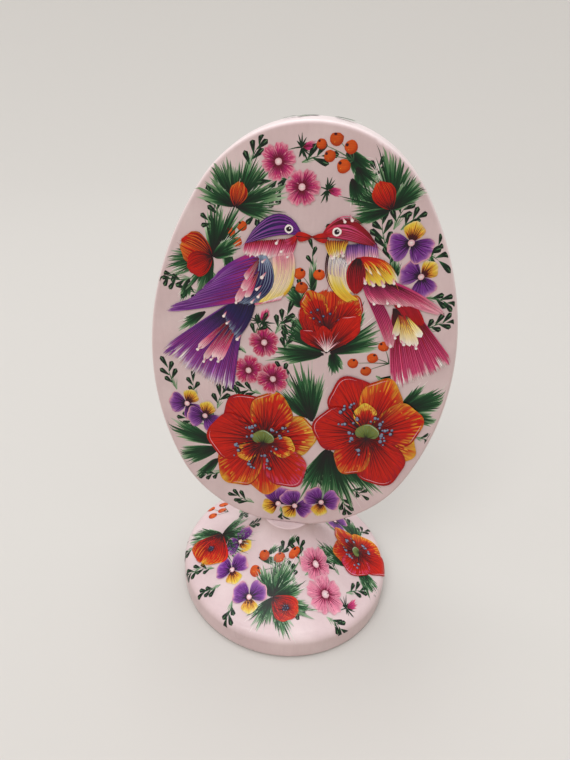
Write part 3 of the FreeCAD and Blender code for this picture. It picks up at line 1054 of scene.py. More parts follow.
def left_bird() -> Bird:
    """The violet bird on the left, which looks to the right.

    Returns:
        The bird.
    """
    violet = ((0.0, P.PLUM), (0.25, P.VIOLET), (0.8, P.VIOLET), (0.93, P.LILAC), (1.0, P.WHITE))
    purple = ((0.0, P.PLUM), (0.25, P.FUCHSIA), (0.6, P.VIOLET), (0.93, P.VIOLET), (1.0, P.LILAC))
    bright = even(P.NAVY, P.VIOLET, P.FUCHSIA)
    dusk = even(P.SOOT, P.NAVY, P.PLUM)
    navy = ((0.0, P.NAVY), (0.5, P.NAVY), (0.8, P.PLUM), (1.0, P.SLATE))
    blush = ((0.0, P.CRIMSON), (0.4, P.ROSE), (0.8, P.PALE_PINK), (1.0, P.WHITE))
    cream = ((0.0, P.PALE_PINK), (0.3, P.CREAM), (0.7, P.CREAM), (1.0, P.LEMON))
    yolk = ((0.0, P.CREAM), (0.4, P.LEMON), (1.0, P.YOLK))
    coral = ((0.0, P.MAROON), (0.3, P.CRIMSON), (0.65, P.ROSE), (0.85, P.PALE_PINK), (1.0, P.WHITE))
    milk = ((0.0, P.ROSE), (0.4, P.PALE_PINK), (1.0, P.WHITE))
    night = ((0.0, P.PLUM), (0.3, P.NAVY), (0.8, P.NAVY), (1.0, P.SLATE))
    crown = ((0.0, P.NAVY), (0.3, P.PLUM), (0.5, P.NAVY), (0.8, P.NAVY), (1.0, P.PLUM))
    glow = even(P.VIOLET, P.VIOLET, P.LILAC)
    tail = (((-22, 126), (-34, 117), (-46, 107)), ((-18, 125), (-21, 110), (-22, 93)))
    tail_heart = (((-24, 120), (-29, 114), (-33, 109)), ((-20, 119), (-24, 112), (-26, 106)))
    rump = (((-22, 127), (-24, 124), (-25, 121)), ((-15, 127), (-16, 119), (-21, 113)))
    long_wing = (((-15, 128), (-28, 124), (-44, 121)), ((-17, 133), (-29, 128), (-41, 124)))
    middle_wing = (((-15, 131), (-25, 129), (-37, 125)), ((-15, 137), (-25, 134), (-33, 129)))
    short_wing = (((-14, 136), (-23, 134), (-32, 130)), ((-12, 143), (-21, 142), (-28, 134)))
    whole_wing = (((-15, 130), (-27, 126), (-41, 122)), ((-13, 142), (-21, 140), (-27, 134)))
    collar = (((-18, 146), (-18.5, 144), (-19, 142)), ((-3, 148), (-3.5, 145), (-5, 141)))
    breast = (((-10, 142), (-8, 135), (-14, 126)), ((-4, 144), (-1, 134), (-8, 128)))
    breast_edge = (((-4, 139), (-2, 134), (-7, 129)), ((-4, 140), (-2, 134), (-6, 129)))
    breast_hair = (((-9, 142), (-7, 136), (-11, 130)), ((-4, 143), (-3, 136), (-7, 130)))
    belly = (((-15, 126), (-13, 126), (-12, 127)), ((-7, 128), (-7, 128.5), (-6, 130)))
    shoulder = (((-14, 142), (-13, 133), (-20, 126)), ((-12, 142), (-5, 132), (-16, 126)))
    cap = (((-2, 150), (-9, 160.5), (-18, 146.5)), ((-2, 149), (-8, 150), (-18, 145.5)))
    cheek = (((-3, 149), (-4, 148), (-7, 147)), ((-3, 148), (-4, 146), (-5.5, 145)))
    tail_plumes = (
        ((-22, 121), (-34, 108)), ((-22, 120), (-32, 104)), ((-21, 119), (-29, 105)),
        ((-20, 119), (-27, 104)),
    )
    wing_plumes = (
        ((-14, 137), (-18, 128)), ((-14, 140), (-21, 126)), ((-14, 141), (-19, 130)),
        ((-14, 141), (-18, 134)),
    )
    rows = (
        Feathers(*tail, 46, violet, bulge=0.16, ragged=0.04),
        Feathers(*tail, 34, bright, 0.6, Touch.LEAF, bulge=0.1),
        Feathers(*tail, 34, dusk, 0.35, Touch.HAIR, 0.12, -0.05),
        Plumes(tail_plumes, 3.0, coral),
        Feathers(*tail_heart, 14, dusk, 0.3, Touch.HAIR),
        Feathers(*rump, 20, navy),
        Feathers(*rump, 11, dusk, 0.5, Touch.HAIR),
        Feathers(*long_wing, 18, purple),
        Feathers(*middle_wing, 18, purple),
        Feathers(*short_wing, 20, purple),
        Feathers(*whole_wing, 30, dusk, 0.3, Touch.HAIR, 0.16),
        Feathers(*whole_wing, 12, glow, 0.3, Touch.LEAF, 0.1),
        Feathers(*collar, 44, blush, ragged=0.16),
        Feathers(*collar, 26, coral, 0.6, Touch.HAIR, 0.2),
        Feathers(*breast, 26, cream),
        Feathers(*breast_edge, 6, yolk, 3.0, Touch.LEAF),
        Feathers(*breast_hair, 18, milk, 0.5, Touch.HAIR, 0.15),
        Feathers(*belly, 14, milk, 0.8, Touch.HAIR),
        Feathers(*shoulder, 24, night),
        Feathers(*shoulder, 7, even(P.SLATE, P.NAVY), 0.3, Touch.HAIR),
        Plumes(wing_plumes, 3.2, coral),
        Feathers(*cap, 32, crown, ragged=0.02),
        Feathers(*cap, 7, glow, 0.25, Touch.LEAF, 0.2),
        Feathers(*cheek, 12, ((0.0, P.SCARLET), (0.6, P.CRIMSON), (1.0, P.ROSE)), 1.7, Touch.LEAF),
    )
    pearls = (
        (-13, 140), (-13, 135), (-14.5, 131), (-14, 128.5), (-16, 126.5), (-21, 126), (-20.5, 113),
        (-25, 121), (-24, 118.5), (-34, 108), (-32, 103.5), (-29.5, 104.5), (-27, 104), (-9, 146),
        (-7.5, 143.5), (-5.5, 142),
    )
    beak = (((-3.5, 149), (2, 148.5)), ((-3, 148), (1, 148)))
    return Bird(rows, pearls, beak, 2.5, (-5.5, 150.5), 52.0)


def right_bird() -> Bird:
    """The crimson bird on the right, which looks to the left.

    Returns:
        The bird.
    """
    rose = ((0.0, P.CRIMSON), (0.3, P.FUCHSIA), (0.7, P.ROSE), (0.92, P.ROSE), (1.0, P.WHITE))
    berry = ((0.0, P.MAROON), (0.4, P.CRIMSON), (1.0, P.FUCHSIA))
    dusk = even(P.SOOT, P.MAROON, P.CRIMSON)
    plume = ((0.0, P.CRIMSON), (0.25, P.FUCHSIA), (0.65, P.ROSE), (1.0, P.PALE_PINK))
    gold = ((0.0, P.SCARLET), (0.25, P.ORANGE), (0.5, P.YOLK), (0.85, P.LEMON), (1.0, P.WHITE))
    fire = ((0.0, P.CRIMSON), (0.4, P.SCARLET), (0.8, P.ORANGE), (1.0, P.YOLK))
    cream = ((0.0, P.YOLK), (0.3, P.LEMON), (0.7, P.CREAM), (1.0, P.WHITE))
    lemon = ((0.0, P.CREAM), (0.4, P.LEMON), (0.9, P.YOLK), (1.0, P.LEMON))
    milk = even(P.WHITE, P.CREAM, P.CREAM)
    haze = even(P.SLATE, P.LILAC, P.WHITE)
    lilac = ((0.0, P.PLUM), (0.35, P.LILAC), (0.8, P.PALE_PINK), (1.0, P.WHITE))
    sun = ((0.0, P.CRIMSON), (0.35, P.YOLK), (0.7, P.LEMON), (1.0, P.WHITE))
    deep = even(P.CRIMSON, P.CRIMSON, P.POPPY)
    crown = ((0.0, P.CRIMSON), (0.4, P.MAROON), (0.7, P.CRIMSON), (1.0, P.MAROON))
    tail = (((28, 128), (29, 113), (32, 100)), ((34, 128), (42, 119), (49, 111)))
    tail_heart = (((30, 126), (31, 122), (32, 119)), ((32, 125), (34, 122), (36, 120)))
    rump = (((28, 129), (31, 128), (33, 122)), ((33, 130), (36, 128), (38, 123)))
    side_plume = (((18, 134), (24, 124), (28, 115)), ((22, 132), (29, 124), (30, 115)))
    long_wing = (((24, 137), (33, 135), (43, 128)), ((19, 133), (28, 131), (41, 127)))
    low_wing = (((18, 136), (19, 132), (22, 129)), ((25, 136), (29, 133), (36, 129)))
    wing_hair = (((18, 135), (19, 132), (22, 129)), ((26, 136), (33, 134), (41, 129)))
    breast = (((7, 144), (6, 137), (10, 132)), ((13, 142), (11, 138), (15, 132)))
    belly = (((7, 138), (8, 132), (14, 129)), ((11, 137), (12, 132), (17, 130)))
    outline = (((6.5, 144), (5, 137), (9.5, 131.5)), ((7, 144), (5.5, 137), (10, 132)))
    collar = (((12, 147), (12, 144), (12, 141)), ((20, 148), (20.5, 146), (21.5, 143)))
    gold_wing = (((15, 142), (16, 143), (17, 139)), ((15, 143), (24, 145), (28, 137)))
    shoulder = (((15, 143), (11, 138), (15.5, 132)), ((16, 143), (19.5, 137), (16.5, 132)))
    cheek = (((12, 148), (11, 147), (11, 144)), ((5.5, 148), (6, 145), (8, 142.5)))
    cap = (((4.5, 150), (10, 159), (20, 148)), ((5.5, 149), (11, 149), (19, 147)))
    tail_plumes = (
        ((30, 126), (30, 118.5)), ((31, 126), (33, 116)), ((31, 126), (35, 115.5)),
        ((32, 126), (37, 115.5)), ((32, 126), (38, 119)),
    )
    gold_plumes = (
        ((17, 140), (18, 135.5)), ((18, 140), (21, 135)), ((19, 141), (24, 135)),
        ((21, 141), (27, 136)),
    )
    rows = (
        Feathers(*tail, 44, rose, bulge=0.1, ragged=0.04),
        Feathers(*tail, 24, berry, 0.5, Touch.HAIR, bulge=0.05),
        Feathers(*tail, 34, dusk, 0.32, Touch.HAIR, 0.14, -0.05),
        Feathers(*rump, 12, deep),
        Feathers(*side_plume, 14, plume),
        Feathers(*side_plume, 8, dusk, 0.35, Touch.HAIR),
        Plumes(tail_plumes, 2.9, cream),
        Feathers(*tail_heart, 7, even(P.CRIMSON, P.AMBER), 0.4, Touch.HAIR),
        Feathers(*long_wing, 18, plume),
        Feathers(*low_wing, 24, plume),
        Feathers(*wing_hair, 32, dusk, 0.3, Touch.HAIR, 0.16),
        Feathers(*breast, 22, milk),
        Feathers(*breast, 16, haze, 0.4, Touch.HAIR, 0.25),
        Feathers(*belly, 14, lemon),
        Feathers(*outline, 2, dusk, 0.6, Touch.HAIR),
        Feathers(*collar, 30, lilac, ragged=0.16),
        Feathers(*collar, 18, even(P.NAVY, P.VIOLET), 0.4, Touch.HAIR, 0.3),
        Feathers(*gold_wing, 26, gold),
        Feathers(*gold_wing, 24, fire, 1.0, Touch.HAIR, 0.25),
        Plumes(gold_plumes, 3.1, ((0.0, P.AMBER), (0.4, P.YOLK), (0.75, P.LEMON), (1.0, P.CREAM))),
        Feathers(*shoulder, 16, deep),
        Feathers(*shoulder, 9, dusk, 0.4, Touch.HAIR),
        Feathers(*cheek, 16, sun, ragged=0.12),
        Feathers(*cheek, 10, even(P.MAROON, P.AMBER), 0.5, Touch.HAIR, 0.25),
        Feathers(*cap, 28, crown, ragged=0.02),
        Feathers(*cap, 14, even(P.SCARLET, P.ROSE, P.CRIMSON), 0.35, Touch.LEAF, 0.2),
    )
    pearls = (
        (22, 129), (26, 129.5), (29.5, 129), (29, 115), (10.5, 153.5), (12.5, 154), (30, 118), (33, 116),
        (37, 115), (8, 142.5), (18.5, 135.5), (21, 135), (24, 135), (27, 136), (11, 143.5),
    )
    beak = (((6, 149), (1, 148.5)), ((6, 148), (2, 148)))
    return Bird(rows, pearls, beak, 2.5, (8.5, 150.5), 118.0)


def left_poppy() -> Poppy:
    """The big poppy on the left of the panel's face.

    Returns:
        The poppy.
    """
    outer = (
        OpenPetal(130, 18, 34, P.CRIMSON, P.SCARLET, P.CRIMSON, (-0.9, -0.1)),
        OpenPetal(10, 19, 28, P.LEMON, P.AMBER, P.YOLK, (-0.3, 0.7)),
        OpenPetal(75, 17, 34, P.YOLK, P.SCARLET, P.AMBER, (0.1, 0.85)),
        OpenPetal(-85, 21, 26, P.AMBER, P.ORANGE, P.YOLK),
        OpenPetal(-130, 22, 28, P.YOLK, P.SCARLET, P.AMBER, (0.2, 0.9)),
        OpenPetal(180, 20, 32, P.SCARLET, P.SCARLET, P.POPPY, (-0.2, 0.95)),
        OpenPetal(-50, 21, 27, P.ROSE, P.SCARLET, P.ORANGE, (-0.75, 0.3)),
    )
    inner = (
        OpenPetal(-150, 8.5, 30, P.YOLK, P.AMBER, None, None, (-1.5, -2.5)),
        OpenPetal(-10, 10, 30, P.LEMON, P.ORANGE, P.YOLK, None, (1.5, -1)),
    )
    stamens = (
        (-5, 4), (-4, 1), (-10, -3), (-3, 5), (3, 4), (7, 5), (-9, -5),
        (-5, -10), (5, -3), (2, -8), (1, -6), (3, -11), (-4, -11), (6, 2),
    )
    return Poppy(outer, inner, stamens, 3.6, 9.0)


def right_poppy() -> Poppy:
    """The big poppy on the right of the panel's face.

    Returns:
        The poppy.
    """
    outer = (
        OpenPetal(-20, 18, 24, P.YOLK, P.AMBER, P.LEMON),
        OpenPetal(120, 20.5, 29, P.CRIMSON, P.SCARLET, P.POPPY, (-0.4, 0.95)),
        OpenPetal(75, 19, 28, P.YOLK, P.ORANGE, P.AMBER, (0.0, 0.8)),
        OpenPetal(20, 18.5, 30, P.YOLK, P.SCARLET, P.AMBER, (-0.8, -0.2)),
        OpenPetal(-60, 20, 32, P.CRIMSON, P.SCARLET, P.POPPY, (-0.9, 0.1)),
        OpenPetal(-115, 16, 30, P.AMBER, P.SCARLET, P.AMBER, (0.0, 0.7)),
        OpenPetal(175, 18.5, 31, P.CRIMSON, P.SCARLET, P.POPPY, (-0.9, 0.5)),
    )
    inner = (OpenPetal(100, 9.5, 30, P.LEMON, P.AMBER, P.YOLK, None, (-0.5, 1)),)
    stamens = (
        (-9, 8), (-7, 9), (-4, 5), (-6, 0), (-5, -2), (-8, 3), (2, 6),
        (4, 4), (6, 2), (8, 1), (5, 0), (-2, -6), (-10, 7), (5, -2),
    )
    return Poppy(outer, inner, stamens, 3.7, 8.0)


@dataclass(frozen=True)
class CupPoppy(Motif):
    """The half-open poppy: a round cup of petals with a look inside."""

    reach: float = 22.0
    width: float = 43.0

    def paint(self, brush: Brushwork) -> None:
        """Paint the cup, the dark inside with its stamens, then the near petals."""
        PoppyBud(self.reach, self.width, 90.0, P.SCARLET, P.ORANGE).paint(brush)
        back = (
            OpenPetal(115, 13, 30, P.YOLK, P.SCARLET, P.POPPY, (0.1, 0.8), (-1.5, 9), fullness=1.2),
            OpenPetal(62, 12.5, 32, P.AMBER, P.SCARLET, P.ORANGE, (-0.8, 0.0), (2, 9), fullness=1.2),
        )
        for petal in back:
            petal.paint(brush)
        hollow = even(P.SOOT, P.MAROON, P.POPPY)
        brush.fan((-0.5, 8), 100.0, 62.0, 7.0, 46, 0.7, hollow, Touch.HAIR, fall=0.4)
        blue = ((0.0, P.SLATE), (0.7, P.NAVY), (1.0, P.SOOT))
        spots = np.array(((-5, 12), (-6, 14), (-4, 15), (-2, 13), (0, 14), (-3, 11), (3, 12)), float)
        brush.dots(spots, brush.rng.uniform(0.4, 0.6, len(spots)), blue, 0.3)
        near = (
            OpenPetal(142, 10.5, 20, P.CRIMSON, P.POPPY, P.CRIMSON, (-0.9, -0.2), (0, 1), fullness=1.3),
            OpenPetal(56, 15.5, 22, P.SCARLET, P.SCARLET, P.POPPY, (0.0, 0.9), (0, 0.5), fullness=1.3),
            OpenPetal(100, 9.5, 24, P.SCARLET, P.POPPY, P.CRIMSON, None, (0, 0), fullness=1.3),
        )
        for petal in near:
            petal.paint(brush)
        milk = even(P.WHITE, P.PALE_PINK, P.CRIMSON)
        brush.fan((0, 0.4), 92.0, 46.0, 6.5, 16, 0.3, milk, Touch.HAIR, fall=0.1)


@dataclass
class Piece:
    """One named piece of painting: motifs, each at its spot."""

    name: str
    tall: float = FRONT_TALL
    motifs: list[tuple[Motif, Spot]] = field(default_factory=list)

    def add(self, motif: Motif, a: float, b: float, **spot: float | bool | int) -> "Piece":
        """Put a motif on this piece, and give the piece back."""
        self.motifs.append((motif, Spot(a, b, **{"tall": self.tall, **spot})))
        return self


class Painting:
    """A painter's sheet: it lays out pieces and makes them on its surface."""

    seed = 1
    slot = "panel_paint"

    def __init__(self, surface: Surface, finish: Material) -> None:
        """Hold the surface to paint on and the paint's material."""
        self.surface = surface
        self.finish = finish

    def layout(self) -> list[Piece]:
        """The pieces in order. Subclasses fill this in.

        Returns:
            The pieces in order.
        """
        raise NotImplementedError

    def build(self) -> list[Thing]:
        """Make, dress and attach every piece.

        Returns:
            The painted pieces, in order.
        """
        made = []
        for number, piece in enumerate(self.layout()):
            brush = Brushwork(self.surface, self.seed * 1000 + number)
            for motif, spot in piece.motifs:
                brush.move_to(spot)
                motif.paint(brush)
            thing = brush.build(piece.name)
            thing.data.materials.append(self.finish)
            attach(thing, "root")
            LOG.info("%s: %d faces", piece.name, len(thing.data.polygons))
            made.append(thing)
        return made


class FrontPainting(Painting):
    """The panel's face: wreath above, two birds, poppies and pansies below."""

    def wreath(self) -> list[Piece]:
        """The flowers, berries, buds and leaves along the top.

        Returns:
            The pieces in order.
        """
        places = ((6, 175.5), (2, 174), (10, 173.5), (4.5, 171), (8.5, 168.5))
        berries = Berries(places, (1.9, 1.4, 1.8, 1.6, 1.9), (11, 170))
        red_fans = ((165, 30, 11), (95, 26, 13.5), (48, 26, 10), (200, 16, 10))
        orange_fans = ((62, 26, 14.5), (20, 24, 12), (110, 26, 12.5), (150, 24, 10), (-6, 18, 10.5))
        return [
            Piece("front_wreath_flower_left").add(PinkFlower(5.0, 6, 80), -9.5, 169, tall=1.0, layer=1),
            Piece("front_wreath_flower_right").add(PinkFlower(5.0, 6, 60), -2.5, 162.5, tall=1.0, layer=2),
            Piece("front_wreath_buds_pink", tall=1.0)
            .add(SmallBud(4.2, 12), -3, 173).add(SmallBud(4.2, -12), 5, 162),
            Piece("front_wreath_berries").add(berries, 0, 0, tall=1.0, layer=1),
            Piece("front_wreath_branch_right", tall=1.0)
            .add(LeafFan(-42, 26, 9, 14, 1.0), 9, 172.5).add(LeafFan(-50, 38, 7, 12, 1.0), 12, 168.5)
            .add(LeafFan(-62, 26, 8, 12, 0.9), 11, 165.5),
            Piece("front_wreath_bud_red")
            .add(PoppyBud(8.6, 36, 122, P.SCARLET, P.ORANGE, red_fans), 23, 157.5, tall=1.0),
            Piece("front_wreath_bud_orange")
            .add(PoppyBud(7.2, 34, 78, P.ORANGE, P.AMBER, orange_fans), -21.5, 156, tall=1.0),
            Piece("front_wreath_sprigs", tall=1.0)
            .add(Sprig(70, 8.5, 5, 2.6), -18, 165).add(Sprig(200, 6.5, 4, 2.8), -5, 166)
            .add(Sprig(215, 7, 5, 2.8), -7, 163).add(Sprig(20, 5.5, 4, 3.0), -3, 169)
            .add(Sprig(110, 7, 5, 2.5), -25.5, 151.5).add(Sprig(70, 7, 5, 2.6), 24.5, 152)
            .add(Sprig(150, 6, 4, 2.4), -24.5, 148.5).add(Sprig(240, 6.5, 4, 2.6), -12.5, 159.5)
            .add(Sprig(205, 6, 4, 2.4), 14, 155).add(Sprig(80, 6, 4, 2.2), 17, 163),
        ]

    def birds(self) -> list[Piece]:
        """The pair of birds, beak to beak.

        Returns:
            The pieces in order.
        """
        return [
            Piece("front_bird_violet").add(left_bird(), 0, 0, tall=1.0, layer=4),
            Piece("front_bird_crimson").add(right_bird(), 0, 0, tall=1.0, layer=5),
        ]

    def sides(self) -> list[Piece]:
        """The poppy bud, berries, pansies and sprigs beside the birds.

        Returns:
            The pieces in order.
        """
        bud_fans = ((70, 34, 14.5), (190, 24, 13), (-118, 28, 11), (30, 24, 8))
        berries = Berries(((-19.5, 150.5), (-23, 148.5), (-21, 145.5)), (1.6, 1.5, 1.6), (-24.5, 143.5), 110)
        return [
            Piece("front_left_bud")
            .add(PoppyBud(10.6, 42, 160, P.ORANGE, P.AMBER, bud_fans), -28.5, 140.5)
            .add(PoppyBud(8.8, 40, 206, P.SCARLET, P.CRIMSON), -28.5, 140.5, layer=3),
            Piece("front_left_berries").add(berries, 0, 0, tall=1.0),
            Piece("front_left_sprigs")
            .add(Sprig(185, 6.5, 4, 2.4), -35.5, 133).add(Sprig(170, 6.5, 4, 2.4), -31, 128)
            .add(LeafFan(-80, 16, 9, 8, 1.0), -24.5, 144.5, tall=1.0)
            .add(LeafFan(214, 16, 9, 10, 0.9), -31, 122).add(LeafFan(-110, 20, 7, 9, 0.8), -36, 133)
            .add(Sprig(-60, 5, 4, 2.4), -28.5, 135.5).add(Sprig(195, 6.5, 4, 2.4), -38, 135),
            Piece("front_pansy_upper").add(Pansy(6.4, 84), 30, 148.5, tall=1.05, layer=2),
            Piece("front_pansy_lower").add(Pansy(6.0, 48), 34.5, 138.5, tall=1.05, layer=1),
            Piece("front_right_sprigs")
            .add(Sprig(112, 11, 7, 2.8), 25, 143).add(Sprig(100, 7, 5, 2.4), 26, 138)
            .add(Sprig(40, 5, 4, 2.4), 26.5, 152).add(Sprig(-20, 6, 4, 3.2), 33, 146)
            .add(Sprig(-8, 7, 5, 2.6), 36.5, 132).add(Sprig(28, 8.5, 6, 2.6), 37, 120)
            .add(Sprig(70, 5, 3, 2.4), 36, 143).add(LeafFan(100, 30, 6, 10, 0.7), 27, 137, tall=1.0),
        ]

    def middle(self) -> list[Piece]:
        """The half-open poppy, berries and pink flowers between the tails.

        Returns:
            The pieces in order.
        """
        top = Berries(((-1.5, 137), (4.5, 137), (-0.5, 132.5)), (1.9, 1.8, 1.9), (2.5, 132), 60)
        places = ((27, 114.5), (24, 110), (18, 107.5), (22.5, 105))
        low = Berries(places, (1.8, 1.8, 1.8, 1.8), (29.5, 108.5), 100)
        return [
            Piece("front_middle_leaves")
            .add(LeafFan(146, 22, 14.5, 18, 1.2), 8.5, 111).add(LeafFan(184, 18, 15, 18, 1.2), 8.5, 110)
            .add(LeafFan(28, 22, 16, 20, 1.1), 10, 110.5).add(LeafFan(70, 20, 8, 10, 1.1), 16, 118)
            .add(LeafFan(-72, 34, 6, 12, 1.4), 11, 110.5).add(LeafFan(135, 26, 7, 10, 1.0), 0.5, 126)
            .add(LeafFan(92, 16, 7, 9, 0.7), 3, 131),
            Piece("front_poppy_half_open").add(CupPoppy(), 9, 110.5, tall=1.0, layer=1),
            Piece("front_middle_berries").add(top, 0, 0, tall=1.0, layer=1),
            Piece("front_right_berries").add(low, 0, 0, tall=1.0, layer=1),
            Piece("front_pink_flowers")
            .add(PinkFlower(5.0, 5, 100, P.CERISE), -11.5, 112.5, layer=0)
            .add(PinkFlower(5.0, 5, 80, P.CERISE), -16.5, 101.5, layer=2)
            .add(PinkFlower(5.2, 5, 110, P.CERISE), -8, 99, layer=4),
            Piece("front_middle_bud").add(SmallBud(4.8, 68), -12.5, 120),
            Piece("front_middle_sprigs")
            .add(Sprig(60, 7, 5, 2.8), -8, 116).add(Sprig(80, 8, 6, 2.8), -4.5, 108)
            .add(Sprig(120, 6.5, 5, 2.6), -1.5, 96).add(Sprig(140, 5, 4, 2.6), -17.5, 108)
            .add(Sprig(118, 5, 4, 2.4), 1.5, 127).add(Sprig(100, 6, 3, 2.0), 3, 138)
            .add(Sprig(-30, 5, 4, 2.4), 26, 103.5).add(Sprig(70, 6, 4, 2.4), -15, 113)
            .add(Sprig(165, 5.5, 4, 2.6), -12, 92.5),
        ]

    def bottom(self) -> list[Piece]:
        """The two big poppies, their leaves and the pansies under them.

        Returns:
            The pieces in order.
        """
        return [
            Piece("front_leaves_left")
            .add(LeafFan(160, 18, 17, 20, 1.25), -27.5, 68.5)
            .add(LeafFan(200, 18, 15.5, 18, 1.25), -26.5, 67).add(LeafFan(228, 14, 11.5, 12, 1.2), -27, 62)
            .add(LeafFan(125, 20, 11, 14, 1.0), -27, 74),
            Piece("front_leaves_between")
            .add(LeafFan(102, 26, 17.5, 24, 1.25), 6.5, 82.5).add(LeafFan(140, 14, 12, 10, 1.2), 5, 84),
            Piece("front_leaves_right")
            .add(LeafFan(26, 20, 15.5, 20, 1.25), 35.5, 90.5).add(LeafFan(-4, 14, 12, 12, 1.2), 36, 89)
            .add(LeafFan(56, 14, 9, 8, 1.1), 36, 92).add(Sprig(-12, 6, 4, 2.4), 42.5, 80.5),
            Piece("front_leaves_under")
            .add(LeafFan(-104, 22, 19, 28, 1.2), 13, 72).add(LeafFan(-70, 24, 21.5, 30, 1.2), 13.5, 71.5)
            .add(LeafFan(-42, 16, 18.5, 18, 1.2), 16.5, 70),
            Piece("front_poppy_left").add(left_poppy(), -10.5, 73, tall=1.2, layer=2),
            Piece("front_poppy_right").add(right_poppy(), 26, 80, tall=1.2, layer=6),
            Piece("front_pansy_far_left").add(Pansy(6.2, 62), -38.5, 85.5, layer=1),
            Piece("front_pansy_left").add(Pansy(6.2, 72), -32, 81, layer=3),
            Piece("front_pansy_bottom_side").add(Pansy(7.2, 205, side=True), -3.5, 42.5, tall=1.2),
            Piece("front_pansy_bottom_middle").add(Pansy(6.6, 235), 3, 42.5, tall=1.2, layer=2),
            Piece("front_pansy_bottom_right").add(Pansy(6.6, 262), 13, 46, tall=1.2, layer=4),
            Piece("front_bottom_sprigs")
            .add(Sprig(160, 7, 5, 2.8), -13, 41.5).add(Sprig(-80, 5, 4, 2.6), -2.5, 41)
            .add(Sprig(78, 7, 6, 2.8), 12.5, 51).add(Sprig(-60, 7, 5, 2.8), 19, 50.5)
            .add(Sprig(200, 7, 5, 2.6), -25.5, 56).add(Sprig(150, 6.5, 5, 2.8), -15.5, 88.5)
            .add(Sprig(110, 8, 5, 2.8), -42, 91).add(Sprig(165, 7, 5, 2.6), -32.5, 77)
            .add(Sprig(72, 6, 4, 3.0), -27.5, 84.5).add(Sprig(60, 5.5, 4, 2.6), 5.5, 52.5)
            .add(Sprig(-20, 6, 4, 2.4), 22, 54).add(Sprig(100, 6, 4, 2.6), -35, 88),
        ]

    def layout(self) -> list[Piece]:
        """Every piece of the panel's face."""
        return self.wreath() + self.birds() + self.sides() + self.middle() + self.bottom()


class RimPainting(Painting):
    """The few green marks on top of the panel's edge, near the back."""

    seed = 4

    def layout(self) -> list[Piece]:
        """Short leaves and a stem, where a brush was wiped."""
        marks = Piece("rim_leaf_marks", tall=1.0)
        marks.add(LeafFan(178, 10, 4.5, 6, 0.8), 89.5, 4.0)
        marks.add(LeafFan(-6, 12, 5.5, 7, 0.8), 86.5, 3.6)
        marks.add(Sprig(188, 5.0, 3, 1.7), 91.5, 3.0)
        return [marks]


